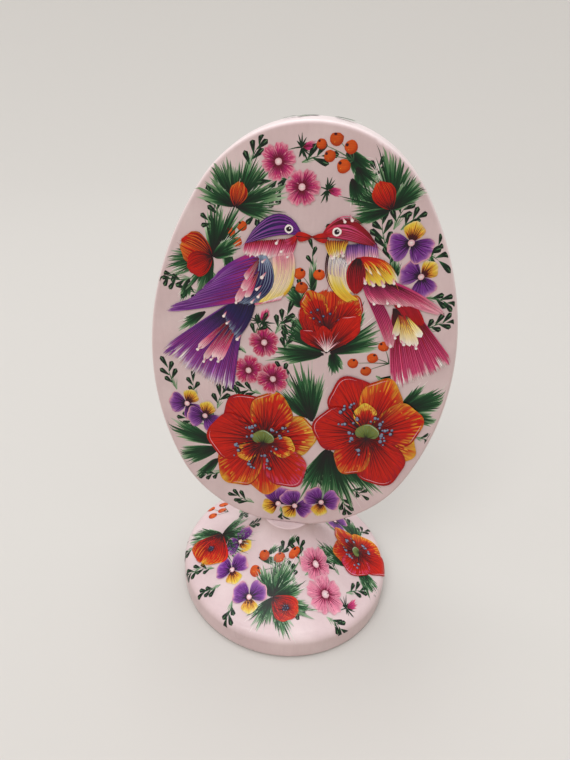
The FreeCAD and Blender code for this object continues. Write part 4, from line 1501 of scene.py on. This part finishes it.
class BackPainting(Painting):
    """The panel's back: a simpler spray of the same flowers, by guess."""

    seed = 2

    def layout(self) -> list[Piece]:
        """Every piece of the panel's back."""
        fans = ((150, 26, 13), (30, 26, 13), (84, 30, 18))
        places = ((-4, 168.5), (1.5, 171), (6.5, 168), (1.5, 165))
        upper = Berries(places, (1.8, 1.7, 1.8, 1.7), (1, 160), 90)
        lower = Berries(((-3, 47), (3.5, 45.5), (0, 42)), (1.8, 1.8, 1.7), (0.5, 52), -90)
        return [
            Piece("back_leaves_upper")
            .add(LeafFan(100, 26, 22, 26, 1.4), -2.0, 112.0).add(LeafFan(150, 20, 20, 22, 1.4), -8.0, 108.0)
            .add(LeafFan(38, 20, 20, 22, 1.4), 6.0, 110.0),
            Piece("back_leaves_lower")
            .add(LeafFan(-120, 22, 22, 24, 1.4), -6.0, 84.0).add(LeafFan(-62, 22, 22, 24, 1.4), 8.0, 84.0)
            .add(LeafFan(-90, 14, 24, 14, 1.3), 1.0, 82.0),
            Piece("back_leaves_beside_flowers")
            .add(LeafFan(55, 28, 13, 16, 1.1), 17, 134).add(LeafFan(125, 28, 13, 16, 1.1), -14, 135)
            .add(LeafFan(-150, 24, 12, 14, 1.1), -12, 58).add(LeafFan(-30, 24, 12, 14, 1.1), 13, 57)
            .add(LeafFan(180, 26, 11, 14, 1.0), -30, 88).add(LeafFan(0, 26, 11, 14, 1.0), 33, 90),
            Piece("back_poppy_left").add(right_poppy(), -13.5, 94.0, turn=20, tall=1.1, layer=2, flip=True),
            Piece("back_poppy_right").add(left_poppy(), 15.5, 100.0, turn=-30, tall=1.1, layer=6, flip=True),
            Piece("back_bud_upper")
            .add(PoppyBud(11.0, 34, 84, P.ORANGE, P.AMBER, fans), 0.5, 130.0, layer=1),
            Piece("back_flowers_upper")
            .add(PinkFlower(5.4, 5, 90), -14.5, 133.0, layer=0)
            .add(PinkFlower(5.2, 5, 60), 17.0, 132.0, layer=2)
            .add(PinkFlower(4.8, 5, 100), -6.0, 156.0, layer=4),
            Piece("back_pansies_upper")
            .add(Pansy(6.2, 100), 9.5, 155.0, layer=0).add(Pansy(6.0, 60), 26.0, 121.0, layer=2)
            .add(Pansy(6.0, 120), -25.5, 121.0, layer=4),
            Piece("back_pansies_lower")
            .add(Pansy(6.4, 250), -10.0, 56.0, layer=0).add(Pansy(6.4, 290), 10.5, 55.0, layer=2)
            .add(Pansy(6.2, 200), -29.0, 73.0, layer=4).add(Pansy(6.2, -20), 30.5, 74.0, layer=6),
            Piece("back_berries_upper").add(upper, 0, 0, tall=1.0),
            Piece("back_berries_lower").add(lower, 0, 0, tall=1.0),
            Piece("back_buds_pink")
            .add(SmallBud(4.6, 130), -15.5, 151.0).add(SmallBud(4.6, 40), 20.5, 147.5),
            Piece("back_sprigs")
            .add(Sprig(150, 8, 5), -14.0, 160.0).add(Sprig(30, 8, 5), 15.5, 161.0)
            .add(Sprig(100, 8, 6), -3.0, 171.0).add(Sprig(60, 7, 5), 4.5, 171.5)
            .add(Sprig(170, 9, 6), -24.0, 139.0).add(Sprig(10, 9, 6), 26.5, 136.0)
            .add(Sprig(190, 8, 5), -34.5, 108.0).add(Sprig(-10, 8, 5), 36.5, 106.0)
            .add(Sprig(215, 8, 5), -28.0, 62.0).add(Sprig(-35, 8, 5), 28.5, 61.0)
            .add(Sprig(120, 8, 5), -20, 145).add(Sprig(60, 8, 5), 24, 143).add(Sprig(-120, 7, 5), -15, 49)
            .add(Sprig(-60, 7, 5), 16, 48).add(Sprig(150, 6, 4), -19, 128).add(Sprig(30, 6, 4), 22, 127),
        ]


class FootPainting(Painting):
    """The foot's skin: buds, poppies, pansies, berries and pink flowers round it."""

    seed = 3
    slot = "foot_paint"

    def front(self) -> list[Piece]:
        """What shows under the panel's face.

        Returns:
            The pieces in order.
        """
        berries = Berries(((-0.5, 0), (5.5, 1), (10.5, 3), (-1, -7)), (2.1, 2.1, 2.2, 2.3), (6.5, -2.5), 80)
        fans = ((78, 30, 14), (128, 26, 10), (-112, 26, 11.5), (-62, 16, 14), (22, 22, 11), (-18, 14, 14.5))
        return [
            Piece("foot_berries_front").add(berries, -24, 16.5, tall=1.0, layer=1),
            Piece("foot_pansy_left_upper").add(Pansy(6.6, 20), -67, 19.5, tall=1.05, layer=1),
            Piece("foot_pansy_left_middle").add(Pansy(6.6, -28), -46, 27, tall=1.05, layer=2),
            Piece("foot_pansy_left_lower").add(Pansy(6.6, -62), -21, 31, tall=1.05, layer=3),
            Piece("foot_bud_centre")
            .add(PoppyBud(11.8, 40, -32, P.SCARLET, P.ORANGE, fans, 0.55), -4.5, 28.5, tall=1.0, layer=1),
            Piece("foot_flower_pink_upper").add(PinkFlower(6.4, 5, 90, P.BLUSH), 43, 19.5, layer=0),
            Piece("foot_flower_pink_lower").add(PinkFlower(7.0, 5, 70, P.BLUSH), 37, 29.5, layer=2),
            Piece("foot_bud_pink").add(SmallBud(5.4, -8), 45.5, 37, tall=1.0),
            Piece("foot_sprigs_front", tall=1.0)
            .add(Sprig(80, 7, 5, 2.8), 24, 18).add(Sprig(20, 6.5, 4, 2.8), 26, 21.5)
            .add(Sprig(-70, 6.5, 4, 3.0), -30, 35).add(Sprig(-110, 6.5, 5, 2.8), -44, 33.5)
            .add(Sprig(-60, 6.5, 5, 2.8), 31, 36.5).add(Sprig(100, 6.5, 5, 2.8), 66, 24)
            .add(Sprig(60, 5.5, 4, 2.6), -8, 16.5).add(Sprig(-160, 6, 4, 2.6), 22, 31)
            .add(Sprig(-30, 6.5, 5, 2.8), 52, 33).add(Sprig(95, 6, 5, 2.6), 14, 24)
            .add(Sprig(75, 7, 5, 2.6), 58, 27).add(Sprig(-125, 6, 4, 2.6), -58, 32)
            .add(LeafFan(60, 24, 5, 9, 0.5), -22, 16).add(LeafFan(10, 16, 9, 8, 0.5), -32, 18)
            .add(LeafFan(50, 24, 5, 8, 0.5), 8, 12),
        ]

    def sides(self) -> list[Piece]:
        """The big poppies at the left and right and what is round them.

        Returns:
            The pieces in order.
        """
        fans = ((70, 28, 14), (20, 24, 14), (-100, 24, 14), (-75, 16, 12), (128, 24, 10))
        left = PoppyBud(17.0, 48, -38, P.SCARLET, P.YOLK, fans, 0.5)
        stamens = ((-4, 3), (-2, 5), (4, 4), (5, 1), (-6, -1), (2, -5), (5, -3))
        outer = (
            OpenPetal(120, 11, 38, P.AMBER, P.SCARLET, P.AMBER),
            OpenPetal(40, 11.5, 38, P.YOLK, P.ORANGE, None, (0.0, 0.8)),
            OpenPetal(-40, 12.5, 38, P.YOLK, P.ORANGE, P.YOLK),
            OpenPetal(-110, 13, 36, P.SCARLET, P.SCARLET, P.CRIMSON, (-0.8, 0.2)),
            OpenPetal(180, 12, 36, P.ROSE, P.SCARLET, P.CRIMSON, (-0.6, 0.8)),
        )
        berries = Berries(((0, 0), (-4.5, 2), (-9, -1), (-4.5, -4.5)), (2.0, 1.9, 2.0, 1.9), (-4, 6), 100)
        return [
            Piece("foot_bud_left").add(left, -88, 26.5, tall=1.0, layer=1),
            Piece("foot_berries_left").add(berries, -112, 36.5, tall=1.0),
            Piece("foot_leaves_right", tall=1.0)
            .add(LeafFan(96, 22, 14, 20, 1.2), 72, 29).add(LeafFan(-126, 20, 13, 20, 1.2), 78, 30.5)
            .add(LeafFan(-60, 22, 8, 14, 1.1), 78, 33).add(LeafFan(40, 28, 12.5, 20, 1.2), 100, 27.5)
            .add(LeafFan(0, 26, 16, 20, 1.2), 98, 31.5),
            Piece("foot_poppy_right").add(Poppy(outer, (), stamens, 2.2, 5.0), 90, 30.5, layer=2),
            Piece("foot_pansy_right_back").add(Pansy(6.4, 40), 124, 25, tall=1.05, layer=1),
            Piece("foot_sprigs_sides", tall=1.0)
            .add(Sprig(20, 7, 5, 2.8), 116, 34).add(Sprig(-60, 6, 4, 2.6), 110, 33)
            .add(Sprig(150, 7, 5, 2.8), -104, 22.5).add(Sprig(-90, 6.5, 5, 2.8), -64, 36.5)
            .add(Sprig(90, 6.5, 5, 2.6), -84, 17.5).add(Sprig(-70, 6.5, 5, 2.8), -82, 38),
        ]

    def behind(self) -> list[Piece]:
        """What goes on round the back, by guess.

        Returns:
            The pieces in order.
        """
        fans = ((80, 30, 12), (150, 24, 11), (-130, 22, 12), (10, 22, 11))
        return [
            Piece("foot_bud_back")
            .add(PoppyBud(11.5, 40, -60, P.SCARLET, P.ORANGE, fans), 180, 28.5, tall=1.0, layer=1),
            Piece("foot_flowers_back")
            .add(PinkFlower(5.8, 5, 90, P.BLUSH), -152, 31, layer=0)
            .add(PinkFlower(5.4, 5, 60, P.BLUSH), -140, 20.5, layer=2),
            Piece("foot_pansies_back", tall=1.05)
            .add(Pansy(6.2, -30), 150, 32, layer=0).add(Pansy(6.0, 40), 152, 20, layer=2),
            Piece("foot_sprigs_back", tall=1.0)
            .add(Sprig(-70, 6.5, 5, 2.8), 165, 36).add(Sprig(-110, 6.5, 5, 2.8), -166, 36.5)
            .add(Sprig(90, 6.5, 5, 2.6), 168, 17).add(Sprig(60, 6.5, 5, 2.6), -124, 26)
            .add(Sprig(-60, 6.5, 5, 2.6), 136, 35.5),
        ]

    def layout(self) -> list[Piece]:
        """Every piece of the foot's painting."""
        return self.front() + self.sides() + self.behind()


class Group:
    """A shader node group under construction, with named inputs and outputs."""

    def __init__(self, name: str, inputs: dict[str, str], outputs: dict[str, str]) -> None:
        """Make the group and its sockets, given names and socket types.

        Args:
            name: the group's name.
            inputs: each input's name and socket type.
            outputs: each output's name and socket type.
        """
        self.tree = bpy.data.node_groups.new(name, "ShaderNodeTree")
        for in_out, sockets in (("INPUT", inputs), ("OUTPUT", outputs)):
            for socket, kind in sockets.items():
                self.tree.interface.new_socket(socket, in_out=in_out, socket_type=kind)
        self.enter = self.tree.nodes.new("NodeGroupInput")
        self.leave = self.tree.nodes.new("NodeGroupOutput")


def wire(tree: Tree, source: Socket | float | Sequence[float], target: Socket) -> None:
    """Join a socket to another, or set a plain value on it.

    Args:
        tree: the tree to work in.
        source: a socket, or a value to set.
        target: the socket that takes it.
    """
    if isinstance(source, Socket):
        tree.links.new(source, target)
    else:
        target.default_value = source


def noise(tree: Tree, place: Socket, scale: float, detail: float = 3.0) -> Socket:
    """Noise from 0 to 1 over a place.

    Args:
        tree: the tree to work in.
        place: where to read it.
        scale: how fine it is.
        detail: how many finer layers it has.

    Returns:
        The noise as a value.
    """
    node = tree.nodes.new("ShaderNodeTexNoise")
    node.inputs["Scale"].default_value = scale
    node.inputs["Detail"].default_value = detail
    tree.links.new(place, node.inputs["Vector"])
    return node.outputs["Fac"]


def spread(tree: Tree, value: Socket, low: float, high: float, a: float, b: float) -> Socket:
    """Stretch values between low and high to run from a to b.

    Args:
        tree: the tree to work in.
        value: what to stretch.
        low: the value that becomes a.
        high: the value that becomes b.
        a: the first end of the result.
        b: its other end.

    Returns:
        The stretched value.
    """
    node = tree.nodes.new("ShaderNodeMapRange")
    for name, number in (("From Min", low), ("From Max", high), ("To Min", a), ("To Max", b)):
        node.inputs[name].default_value = number
    tree.links.new(value, node.inputs["Value"])
    return node.outputs["Result"]


def scaled(tree: Tree, place: Socket, scale: Sequence[float]) -> Socket:
    """A place with each of its parts multiplied.

    Args:
        tree: the tree to work in.
        place: the place.
        scale: a factor for each of its parts.

    Returns:
        The scaled place.
    """
    node = tree.nodes.new("ShaderNodeMapping")
    node.inputs["Scale"].default_value = scale
    tree.links.new(place, node.inputs["Vector"])
    return node.outputs["Vector"]


def times(tree: Tree, a: Socket, b: Socket | float, how: str = "MULTIPLY") -> Socket:
    """Arithmetic on two values.

    Args:
        tree: the tree to work in.
        a: the first value.
        b: the second, a socket or a number.
        how: the sum to work out.

    Returns:
        The result.
    """
    node = tree.nodes.new("ShaderNodeMath")
    node.operation = how
    tree.links.new(a, node.inputs[0])
    wire(tree, b, node.inputs[1])
    return node.outputs[0]


def tinted(tree: Tree, colour: Socket, value: Socket) -> Socket:
    """A colour made lighter or darker by a value.

    Args:
        tree: the tree to work in.
        colour: the colour.
        value: the factor, 1 leaving it as it is.

    Returns:
        The new colour.
    """
    node = tree.nodes.new("ShaderNodeVectorMath")
    node.operation = "SCALE"
    tree.links.new(colour, node.inputs[0])
    tree.links.new(value, node.inputs["Scale"])
    return node.outputs["Vector"]


def bristle_group() -> Tree:
    """The streaks that a brush's hairs leave: fine across the mark, long along it.

    Returns:
        The group's tree.
    """
    made = Group(
        "bristle streaks",
        {"Lie": "NodeSocketVector", "Colour": "NodeSocketColor"},
        {"Colour": "NodeSocketColor", "Height": "NodeSocketFloat", "Gloss": "NodeSocketFloat"},
    )
    tree = made.tree
    lie = made.enter.outputs["Lie"]
    fine = noise(tree, scaled(tree, lie, (0.35, 9.0, 1.0)), 1.0, 2.0)
    broad = noise(tree, scaled(tree, lie, (0.18, 2.6, 1.0)), 1.0, 2.0)
    mixed = times(tree, times(tree, fine, 0.6), times(tree, broad, 0.4), "ADD")
    shade_by = spread(tree, mixed, 0.34, 0.66, 0.80, 1.16)
    wire(tree, tinted(tree, made.enter.outputs["Colour"], shade_by), made.leave.inputs["Colour"])
    wire(tree, mixed, made.leave.inputs["Height"])
    wire(tree, spread(tree, broad, 0.3, 0.7, 0.30, 0.40), made.leave.inputs["Gloss"])
    return tree


def mottle_group() -> Tree:
    """Soft unevenness of brushed ground paint: faint clouds, brush lines and specks.

    Returns:
        The group's tree.
    """
    made = Group(
        "mottled ground",
        {"Place": "NodeSocketVector", "Colour": "NodeSocketColor", "Haze": "NodeSocketColor"},
        {"Colour": "NodeSocketColor", "Height": "NodeSocketFloat", "Gloss": "NodeSocketFloat"},
    )
    tree = made.tree
    place = made.enter.outputs["Place"]
    clouds = noise(tree, place, 45.0, 3.0)
    lines = noise(tree, scaled(tree, place, (900.0, 900.0, 120.0)), 1.0, 2.0)
    specks = noise(tree, place, 2600.0, 1.0)
    level = spread(tree, clouds, 0.3, 0.7, 0.95, 1.04)
    level = times(tree, level, spread(tree, lines, 0.3, 0.7, 0.985, 1.015))
    level = times(tree, level, spread(tree, specks, 0.3, 0.7, 0.99, 1.01))
    haze = tree.nodes.new("ShaderNodeMix")
    haze.data_type = "RGBA"
    tree.links.new(spread(tree, noise(tree, place, 70.0, 4.0), 0.45, 0.75, 0.0, 0.5), haze.inputs[0])
    tree.links.new(made.enter.outputs["Colour"], haze.inputs[6])
    tree.links.new(made.enter.outputs["Haze"], haze.inputs[7])
    wire(tree, tinted(tree, haze.outputs[2], level), made.leave.inputs["Colour"])
    wire(tree, times(tree, lines, times(tree, clouds, 0.6), "ADD"), made.leave.inputs["Height"])
    wire(tree, spread(tree, clouds, 0.3, 0.7, 0.27, 0.35), made.leave.inputs["Gloss"])
    return tree


def grain_group() -> Tree:
    """Straight wood grain along the height: rings drawn out with fine pores.

    Returns:
        The group's tree.
    """
    made = Group(
        "turned grain",
        {"Place": "NodeSocketVector", "Light": "NodeSocketColor", "Dark": "NodeSocketColor"},
        {"Colour": "NodeSocketColor", "Height": "NodeSocketFloat"},
    )
    tree = made.tree
    place = made.enter.outputs["Place"]
    rings = tree.nodes.new("ShaderNodeTexWave")
    rings.inputs["Scale"].default_value = 1.0
    rings.inputs["Distortion"].default_value = 3.0
    tree.links.new(scaled(tree, place, (260.0, 180.0, 14.0)), rings.inputs["Vector"])
    pores = noise(tree, scaled(tree, place, (2400.0, 2400.0, 150.0)), 1.0, 2.0)
    mask = times(tree, times(tree, rings.outputs["Fac"], 0.6), times(tree, pores, 0.4), "ADD")
    mix = tree.nodes.new("ShaderNodeMix")
    mix.data_type = "RGBA"
    tree.links.new(mask, mix.inputs[0])
    tree.links.new(made.enter.outputs["Light"], mix.inputs[6])
    tree.links.new(made.enter.outputs["Dark"], mix.inputs[7])
    wire(tree, mix.outputs[2], made.leave.inputs["Colour"])
    wire(tree, mask, made.leave.inputs["Height"])
    return tree


@dataclass(frozen=True)
class Finish:
    """A finish: its name and the numbers its Principled shader takes."""

    name: str
    coat: float = 0.06
    coat_roughness: float = 0.1
    sheen: float = 0.22
    bump: float = 0.1
    depth: float = 0.00002

    def start(self) -> tuple[Material, Tree, bpy.types.Node]:
        """Make the material with its Principled shader and uniform numbers set.

        Returns:
            The material, its tree and its shader.
        """
        material = bpy.data.materials.new(self.name)
        material.use_nodes = True
        tree = material.node_tree
        shader = tree.nodes["Principled BSDF"]
        shader.inputs["Coat Weight"].default_value = self.coat
        shader.inputs["Specular IOR Level"].default_value = self.sheen
        shader.inputs["Coat Roughness"].default_value = self.coat_roughness
        return material, tree, shader

    def finish(self, tree: Tree, shader: bpy.types.Node, height: Socket) -> None:
        """Send the height to the shader's normal.

        Args:
            tree: the material's tree.
            shader: its shader.
            height: the height of the finish.
        """
        bump = tree.nodes.new("ShaderNodeBump")
        bump.inputs["Strength"].default_value = self.bump
        bump.inputs["Distance"].default_value = self.depth
        tree.links.new(height, bump.inputs["Height"])
        tree.links.new(bump.outputs["Normal"], shader.inputs["Normal"])

    @staticmethod
    def use(tree: Tree, group: Tree) -> bpy.types.Node:
        """Put a shared group in a material.

        Args:
            tree: the material's tree.
            group: the shared group.

        Returns:
            The group's node.
        """
        node = tree.nodes.new("ShaderNodeGroup")
        node.node_tree = group
        return node


@dataclass(frozen=True)
class BrushPaint(Finish):
    """Folk paint under varnish: each mark's own colour with its hairs' streaks."""

    name: str = "brush_paint"

    def material(self, group: Tree) -> Material:
        """Make the paint from the marks' colours and the lie of the hairs.

        Args:
            group: the bristle streaks.

        Returns:
            The paint.
        """
        material, tree, shader = self.start()
        paint = tree.nodes.new("ShaderNodeAttribute")
        paint.attribute_name = "paint"
        lie = tree.nodes.new("ShaderNodeUVMap")
        lie.uv_map = "hairs"
        streaks = self.use(tree, group)
        tree.links.new(lie.outputs["UV"], streaks.inputs["Lie"])
        tree.links.new(paint.outputs["Color"], streaks.inputs["Colour"])
        tree.links.new(streaks.outputs["Colour"], shader.inputs["Base Color"])
        tree.links.new(streaks.outputs["Gloss"], shader.inputs["Roughness"])
        self.finish(tree, shader, streaks.outputs["Height"])
        return material


@dataclass(frozen=True)
class GroundPaint(Finish):
    """Pale pink ground paint under satin varnish, slightly uneven.

    Where an edge pigment is given, a flat panel's edge takes it as a painted highlight,
    standing in for the light that the rim catches from above: everything
    nearer to its middle plane than highlight_from, fading out by highlight_to (metres).
    """

    name: str = "ground_paint"
    pigment: Pigment = P.GROUND
    haze: Pigment = P.MILK
    edge: Optional[Pigment] = None
    highlight_from: float = 0.0056
    highlight_to: float = 0.0059

    def material(self, group: Tree) -> Material:
        """Make the ground paint over Object coordinates.

        Args:
            group: the mottled ground.

        Returns:
            The paint.
        """
        material, tree, shader = self.start()
        place = tree.nodes.new("ShaderNodeTexCoord")
        mottle = self.use(tree, group)
        tree.links.new(place.outputs["Object"], mottle.inputs["Place"])
        mottle.inputs["Colour"].default_value = (*self.pigment.light, 1.0)
        mottle.inputs["Haze"].default_value = (*self.haze.light, 1.0)
        # Painted highlight: the rim takes the paler edge colour, standing in for the light it catches from
        # above.
        if self.edge is not None:
            split = tree.nodes.new("ShaderNodeSeparateXYZ")
            tree.links.new(place.outputs["Object"], split.inputs["Vector"])
            depth = times(tree, split.outputs["Y"], 0.0, "ABSOLUTE")
            mix = tree.nodes.new("ShaderNodeMix")
            mix.data_type = "RGBA"
            mix.inputs[6].default_value = (*self.edge.light, 1.0)
            mix.inputs[7].default_value = (*self.pigment.light, 1.0)
            tree.links.new(spread(tree, depth, self.highlight_from, self.highlight_to, 0.0, 1.0), mix.inputs[0])
            tree.links.new(mix.outputs[2], mottle.inputs["Colour"])
        tree.links.new(mottle.outputs["Colour"], shader.inputs["Base Color"])
        tree.links.new(mottle.outputs["Gloss"], shader.inputs["Roughness"])
        self.finish(tree, shader, mottle.outputs["Height"])
        return material


@dataclass(frozen=True)
class PegWood(Finish):
    """Bare beech dowel with straight grain."""

    name: str = "peg_beech"
    coat: float = 0.0
    bump: float = 0.3

    def material(self, group: Tree) -> Material:
        """Make the wood over Object coordinates.

        Args:
            group: the turned grain.

        Returns:
            The wood.
        """
        material, tree, shader = self.start()
        place = tree.nodes.new("ShaderNodeTexCoord")
        grain = self.use(tree, group)
        tree.links.new(place.outputs["Object"], grain.inputs["Place"])
        grain.inputs["Light"].default_value = (0.62, 0.42, 0.25, 1.0)
        grain.inputs["Dark"].default_value = (0.40, 0.23, 0.12, 1.0)
        tree.links.new(grain.outputs["Colour"], shader.inputs["Base Color"])
        shader.inputs["Roughness"].default_value = 0.6
        self.finish(tree, shader, grain.outputs["Height"])
        return material


@dataclass(frozen=True)
class Woodwork:
    """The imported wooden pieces: the egg panel, the foot and the peg.

    Half the panel's thickness is in metres. The neck's radius and the height
    above which the foot is painted are in millimetres.
    """

    half_thickness: float = 0.006
    neck_radius: float = 9.6
    rim_top: float = 6.0

    def dress(self, **finishes: Material) -> None:
        """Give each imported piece, named by its keyword, its finish.

        Args:
            finishes: a material for each piece's name.
        """
        for name, material in finishes.items():
            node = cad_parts[name]
            for slot in node.material_slots:
                slot.material = material
            LOG.info("%s dressed in %s", name, material.name)

    def face(self, side: Side) -> PanelFace:
        """One broad face of the panel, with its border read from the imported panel.

        The border is the largest distance from the face's middle in each
        direction, for the right half; the left half is the same.

        Args:
            side: which face.

        Returns:
            The face, ready to paint on.
        """
        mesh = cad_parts["egg_panel"].data
        points = np.zeros(len(mesh.vertices) * 3, np.float32)
        mesh.vertices.foreach_get("co", points)
        points = points.reshape(-1, 3).astype(float) / MM
        away = points[:, [0, 2]] - np.array([0.0, PanelFace.centre])
        turns = np.degrees(np.arctan2(away[:, 1], np.abs(away[:, 0])))
        far = np.hypot(away[:, 0], away[:, 1])
        step, window = 5.0, 3.5
        middles = np.arange(-90.0, 90.0 + step / 2, step)
        reaches = np.array([far[np.abs(turns - middle) < window].max() for middle in middles])
        return PanelFace(side, self.half_thickness, np.radians(middles), reaches)

    def rim(self) -> PanelRim:
        """The panel's edge, as far out as its border."""
        face = self.face(Side.FRONT)
        return PanelRim(face.turns, face.reaches)

    def skin(self) -> FootSkin:
        """The foot's upper skin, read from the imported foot's own points.

        The points are grouped by height; each group's largest radius is one
        place on the profile.

        Returns:
            The skin, ready to paint on.
        """
        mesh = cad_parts["foot"].data
        points = np.zeros(len(mesh.vertices) * 3, np.float32)
        mesh.vertices.foreach_get("co", points)
        points = points.reshape(-1, 3).astype(float) / MM
        radii = np.hypot(points[:, 0], points[:, 1])
        heights = np.round(points[:, 2], 1)
        levels = np.unique(heights)
        outer = np.array([radii[heights == level].max() for level in levels])
        keep = (levels > self.rim_top) & (outer > self.neck_radius - 0.3)
        levels, outer = levels[keep], outer[keep]
        falling = np.concatenate([[True], np.diff(np.minimum.accumulate(outer)) < -1e-3])
        return FootSkin(outer[falling], levels[falling])


@dataclass(frozen=True)
class Studio:
    """The pale floor, the soft lights and the camera."""

    camera_place: tuple[float, float, float] = (0.005, -0.1705, 0.196)
    yaw: float = -7.6
    pitch: float = 30.7
    roll: float = 1.3
    lens: float = 26.5

    def floor(self) -> Thing:
        """A plain pale floor that sweeps up all round the object.

        Its profile is flat to 0.8 m from the middle, then a quarter circle of
        radius 1.8 m, then a low wall, turned about the upright axis. To the
        camera it is pale; the light that it throws back is that of linen.

        Returns:
            The floor, set on the stage.
        """
        sweep = np.linspace(0.0, np.pi / 2, 33)
        radii = np.concatenate([[0.001, 0.4], 0.8 + 1.8 * np.sin(sweep), [2.6]])
        heights = np.concatenate([[0.0, 0.0], 1.8 - 1.8 * np.cos(sweep), [2.0]])
        around = 96
        turns = np.linspace(0.0, 2 * np.pi, around, endpoint=False)[:, None]
        level = np.broadcast_to(heights, (around, len(radii)))
        points = np.stack([radii * np.cos(turns), radii * np.sin(turns), level], axis=-1)
        index = np.arange(points.size // 3).reshape(around, -1)
        after = np.roll(index, -1, axis=0)
        faces = np.stack([index[:, :-1], index[:, 1:], after[:, 1:], after[:, :-1]], axis=-1).reshape(-1, 4)
        mesh = bpy.data.meshes.new("floor")
        mesh.from_pydata(points.reshape(-1, 3).tolist(), [], faces.tolist())
        mesh.polygons.foreach_set("use_smooth", np.ones(len(faces), dtype=bool))
        floor = bpy.data.objects.new("floor", mesh)
        bpy.context.collection.objects.link(floor)
        material = bpy.data.materials.new("floor_pale")
        material.use_nodes = True
        tree = material.node_tree
        shader = tree.nodes["Principled BSDF"]
        shader.inputs["Roughness"].default_value = 0.9
        shader.inputs["Specular IOR Level"].default_value = 0.0
        path = tree.nodes.new("ShaderNodeLightPath")
        mix = tree.nodes.new("ShaderNodeMix")
        mix.data_type = "RGBA"
        mix.inputs[6].default_value = (0.42, 0.37, 0.32, 1.0)
        mix.inputs[7].default_value = (0.60, 0.585, 0.56, 1.0)
        seen = times(tree, path.outputs["Is Camera Ray"], path.outputs["Is Glossy Ray"], "MAXIMUM")
        seen = times(tree, seen, path.outputs["Is Transmission Ray"], "MAXIMUM")
        tree.links.new(seen, mix.inputs[0])
        tree.links.new(mix.outputs[2], shader.inputs["Base Color"])
        mesh.materials.append(material)
        return floor

    def sky(self, strength: float, shown: float) -> None:
        """A plain pale world: one strength as light, and white where it is seen.

        Args:
            strength: how bright it is as light.
            shown: how bright it is where it is seen.
        """
        world = bpy.data.worlds.new("studio_world")
        bpy.context.scene.world = world
        world.use_nodes = True
        tree = world.node_tree
        back = tree.nodes["Background"]
        back.inputs["Color"].default_value = (0.99, 0.99, 1.0, 1.0)
        path = tree.nodes.new("ShaderNodeLightPath")
        seen = times(tree, path.outputs["Is Camera Ray"], path.outputs["Is Glossy Ray"], "MAXIMUM")
        seen = times(tree, seen, path.outputs["Is Transmission Ray"], "MAXIMUM")
        tree.links.new(spread(tree, seen, 0.0, 1.0, strength, shown), back.inputs["Strength"])

    def lamp(
        self, name: str, place: Sequence[float], aim: Sequence[float], size: float, power: float
    ) -> None:
        """A soft square lamp that looks from its place at a point.

        Args:
            name: the lamp's name.
            place: where it stands, in metres.
            aim: the point it looks at.
            size: the length of its side.
            power: its strength in watts.
        """
        data = bpy.data.lights.new(name, "AREA")
        data.size = size
        data.energy = power
        lamp = bpy.data.objects.new(name, data)
        lamp.location = place
        towards = Vector(aim) - Vector(place)
        lamp.rotation_euler = towards.to_track_quat("-Z", "Y").to_euler()
        bpy.context.collection.objects.link(lamp)

    def camera(self) -> None:
        """The camera at the height and distance of someone looking down at the egg."""
        yaw, pitch, roll = (math.radians(v) for v in (self.yaw, self.pitch, self.roll))
        ahead = Vector((math.sin(yaw) * math.cos(pitch), math.cos(yaw) * math.cos(pitch), -math.sin(pitch)))
        right = Vector((math.cos(yaw), -math.sin(yaw), 0.0))
        above = right.cross(ahead)
        across = right * math.cos(roll) + above * math.sin(roll)
        upward = above * math.cos(roll) - right * math.sin(roll)
        data = bpy.data.cameras.new("camera")
        data.lens = self.lens
        data.sensor_width = 36.0
        data.shift_x = 0.05
        data.clip_start = 0.01
        camera = bpy.data.objects.new("camera", data)
        turn = Matrix((across, upward, -ahead)).transposed().to_4x4()
        camera.matrix_world = Matrix.Translation(Vector(self.camera_place)) @ turn
        bpy.context.collection.objects.link(camera)
        bpy.context.scene.camera = camera

    def build(self) -> None:
        """Set out the floor, the lights and the camera."""
        bpy.context.scene.view_settings.view_transform = "Standard"
        self.floor()
        self.sky(0.80, 1.0)
        self.lamp("lamp_above", (-0.20, 0.25, 2.6), (0.0, 0.0, 0.12), 1.6, 30.0)
        self.lamp("lamp_front", (-0.80, -1.90, 2.4), (0.0, 0.0, 0.12), 1.4, 31.0)
        self.camera()


def main() -> None:
    """Dress the woodwork, paint it, and set out the studio."""
    logging.basicConfig(level=logging.INFO, format="%(message)s")
    wood = Woodwork()
    brush_paint = BrushPaint().material(bristle_group())
    mottle = mottle_group()
    wood.dress(
        # The panel's rim is painted paler (MILK) as a painted highlight, standing in for the light it
        # catches from above.
        egg_panel=GroundPaint(name="panel_ground_paint", edge=P.MILK).material(mottle),
        foot=GroundPaint(name="foot_ground_paint").material(mottle),
        peg=PegWood().material(grain_group()),
    )
    FrontPainting(wood.face(Side.FRONT), brush_paint).build()
    BackPainting(wood.face(Side.BACK), brush_paint).build()
    RimPainting(wood.rim(), brush_paint).build()
    FootPainting(wood.skin(), brush_paint).build()
    Studio().build()


if __name__ == "__main__":
    main()
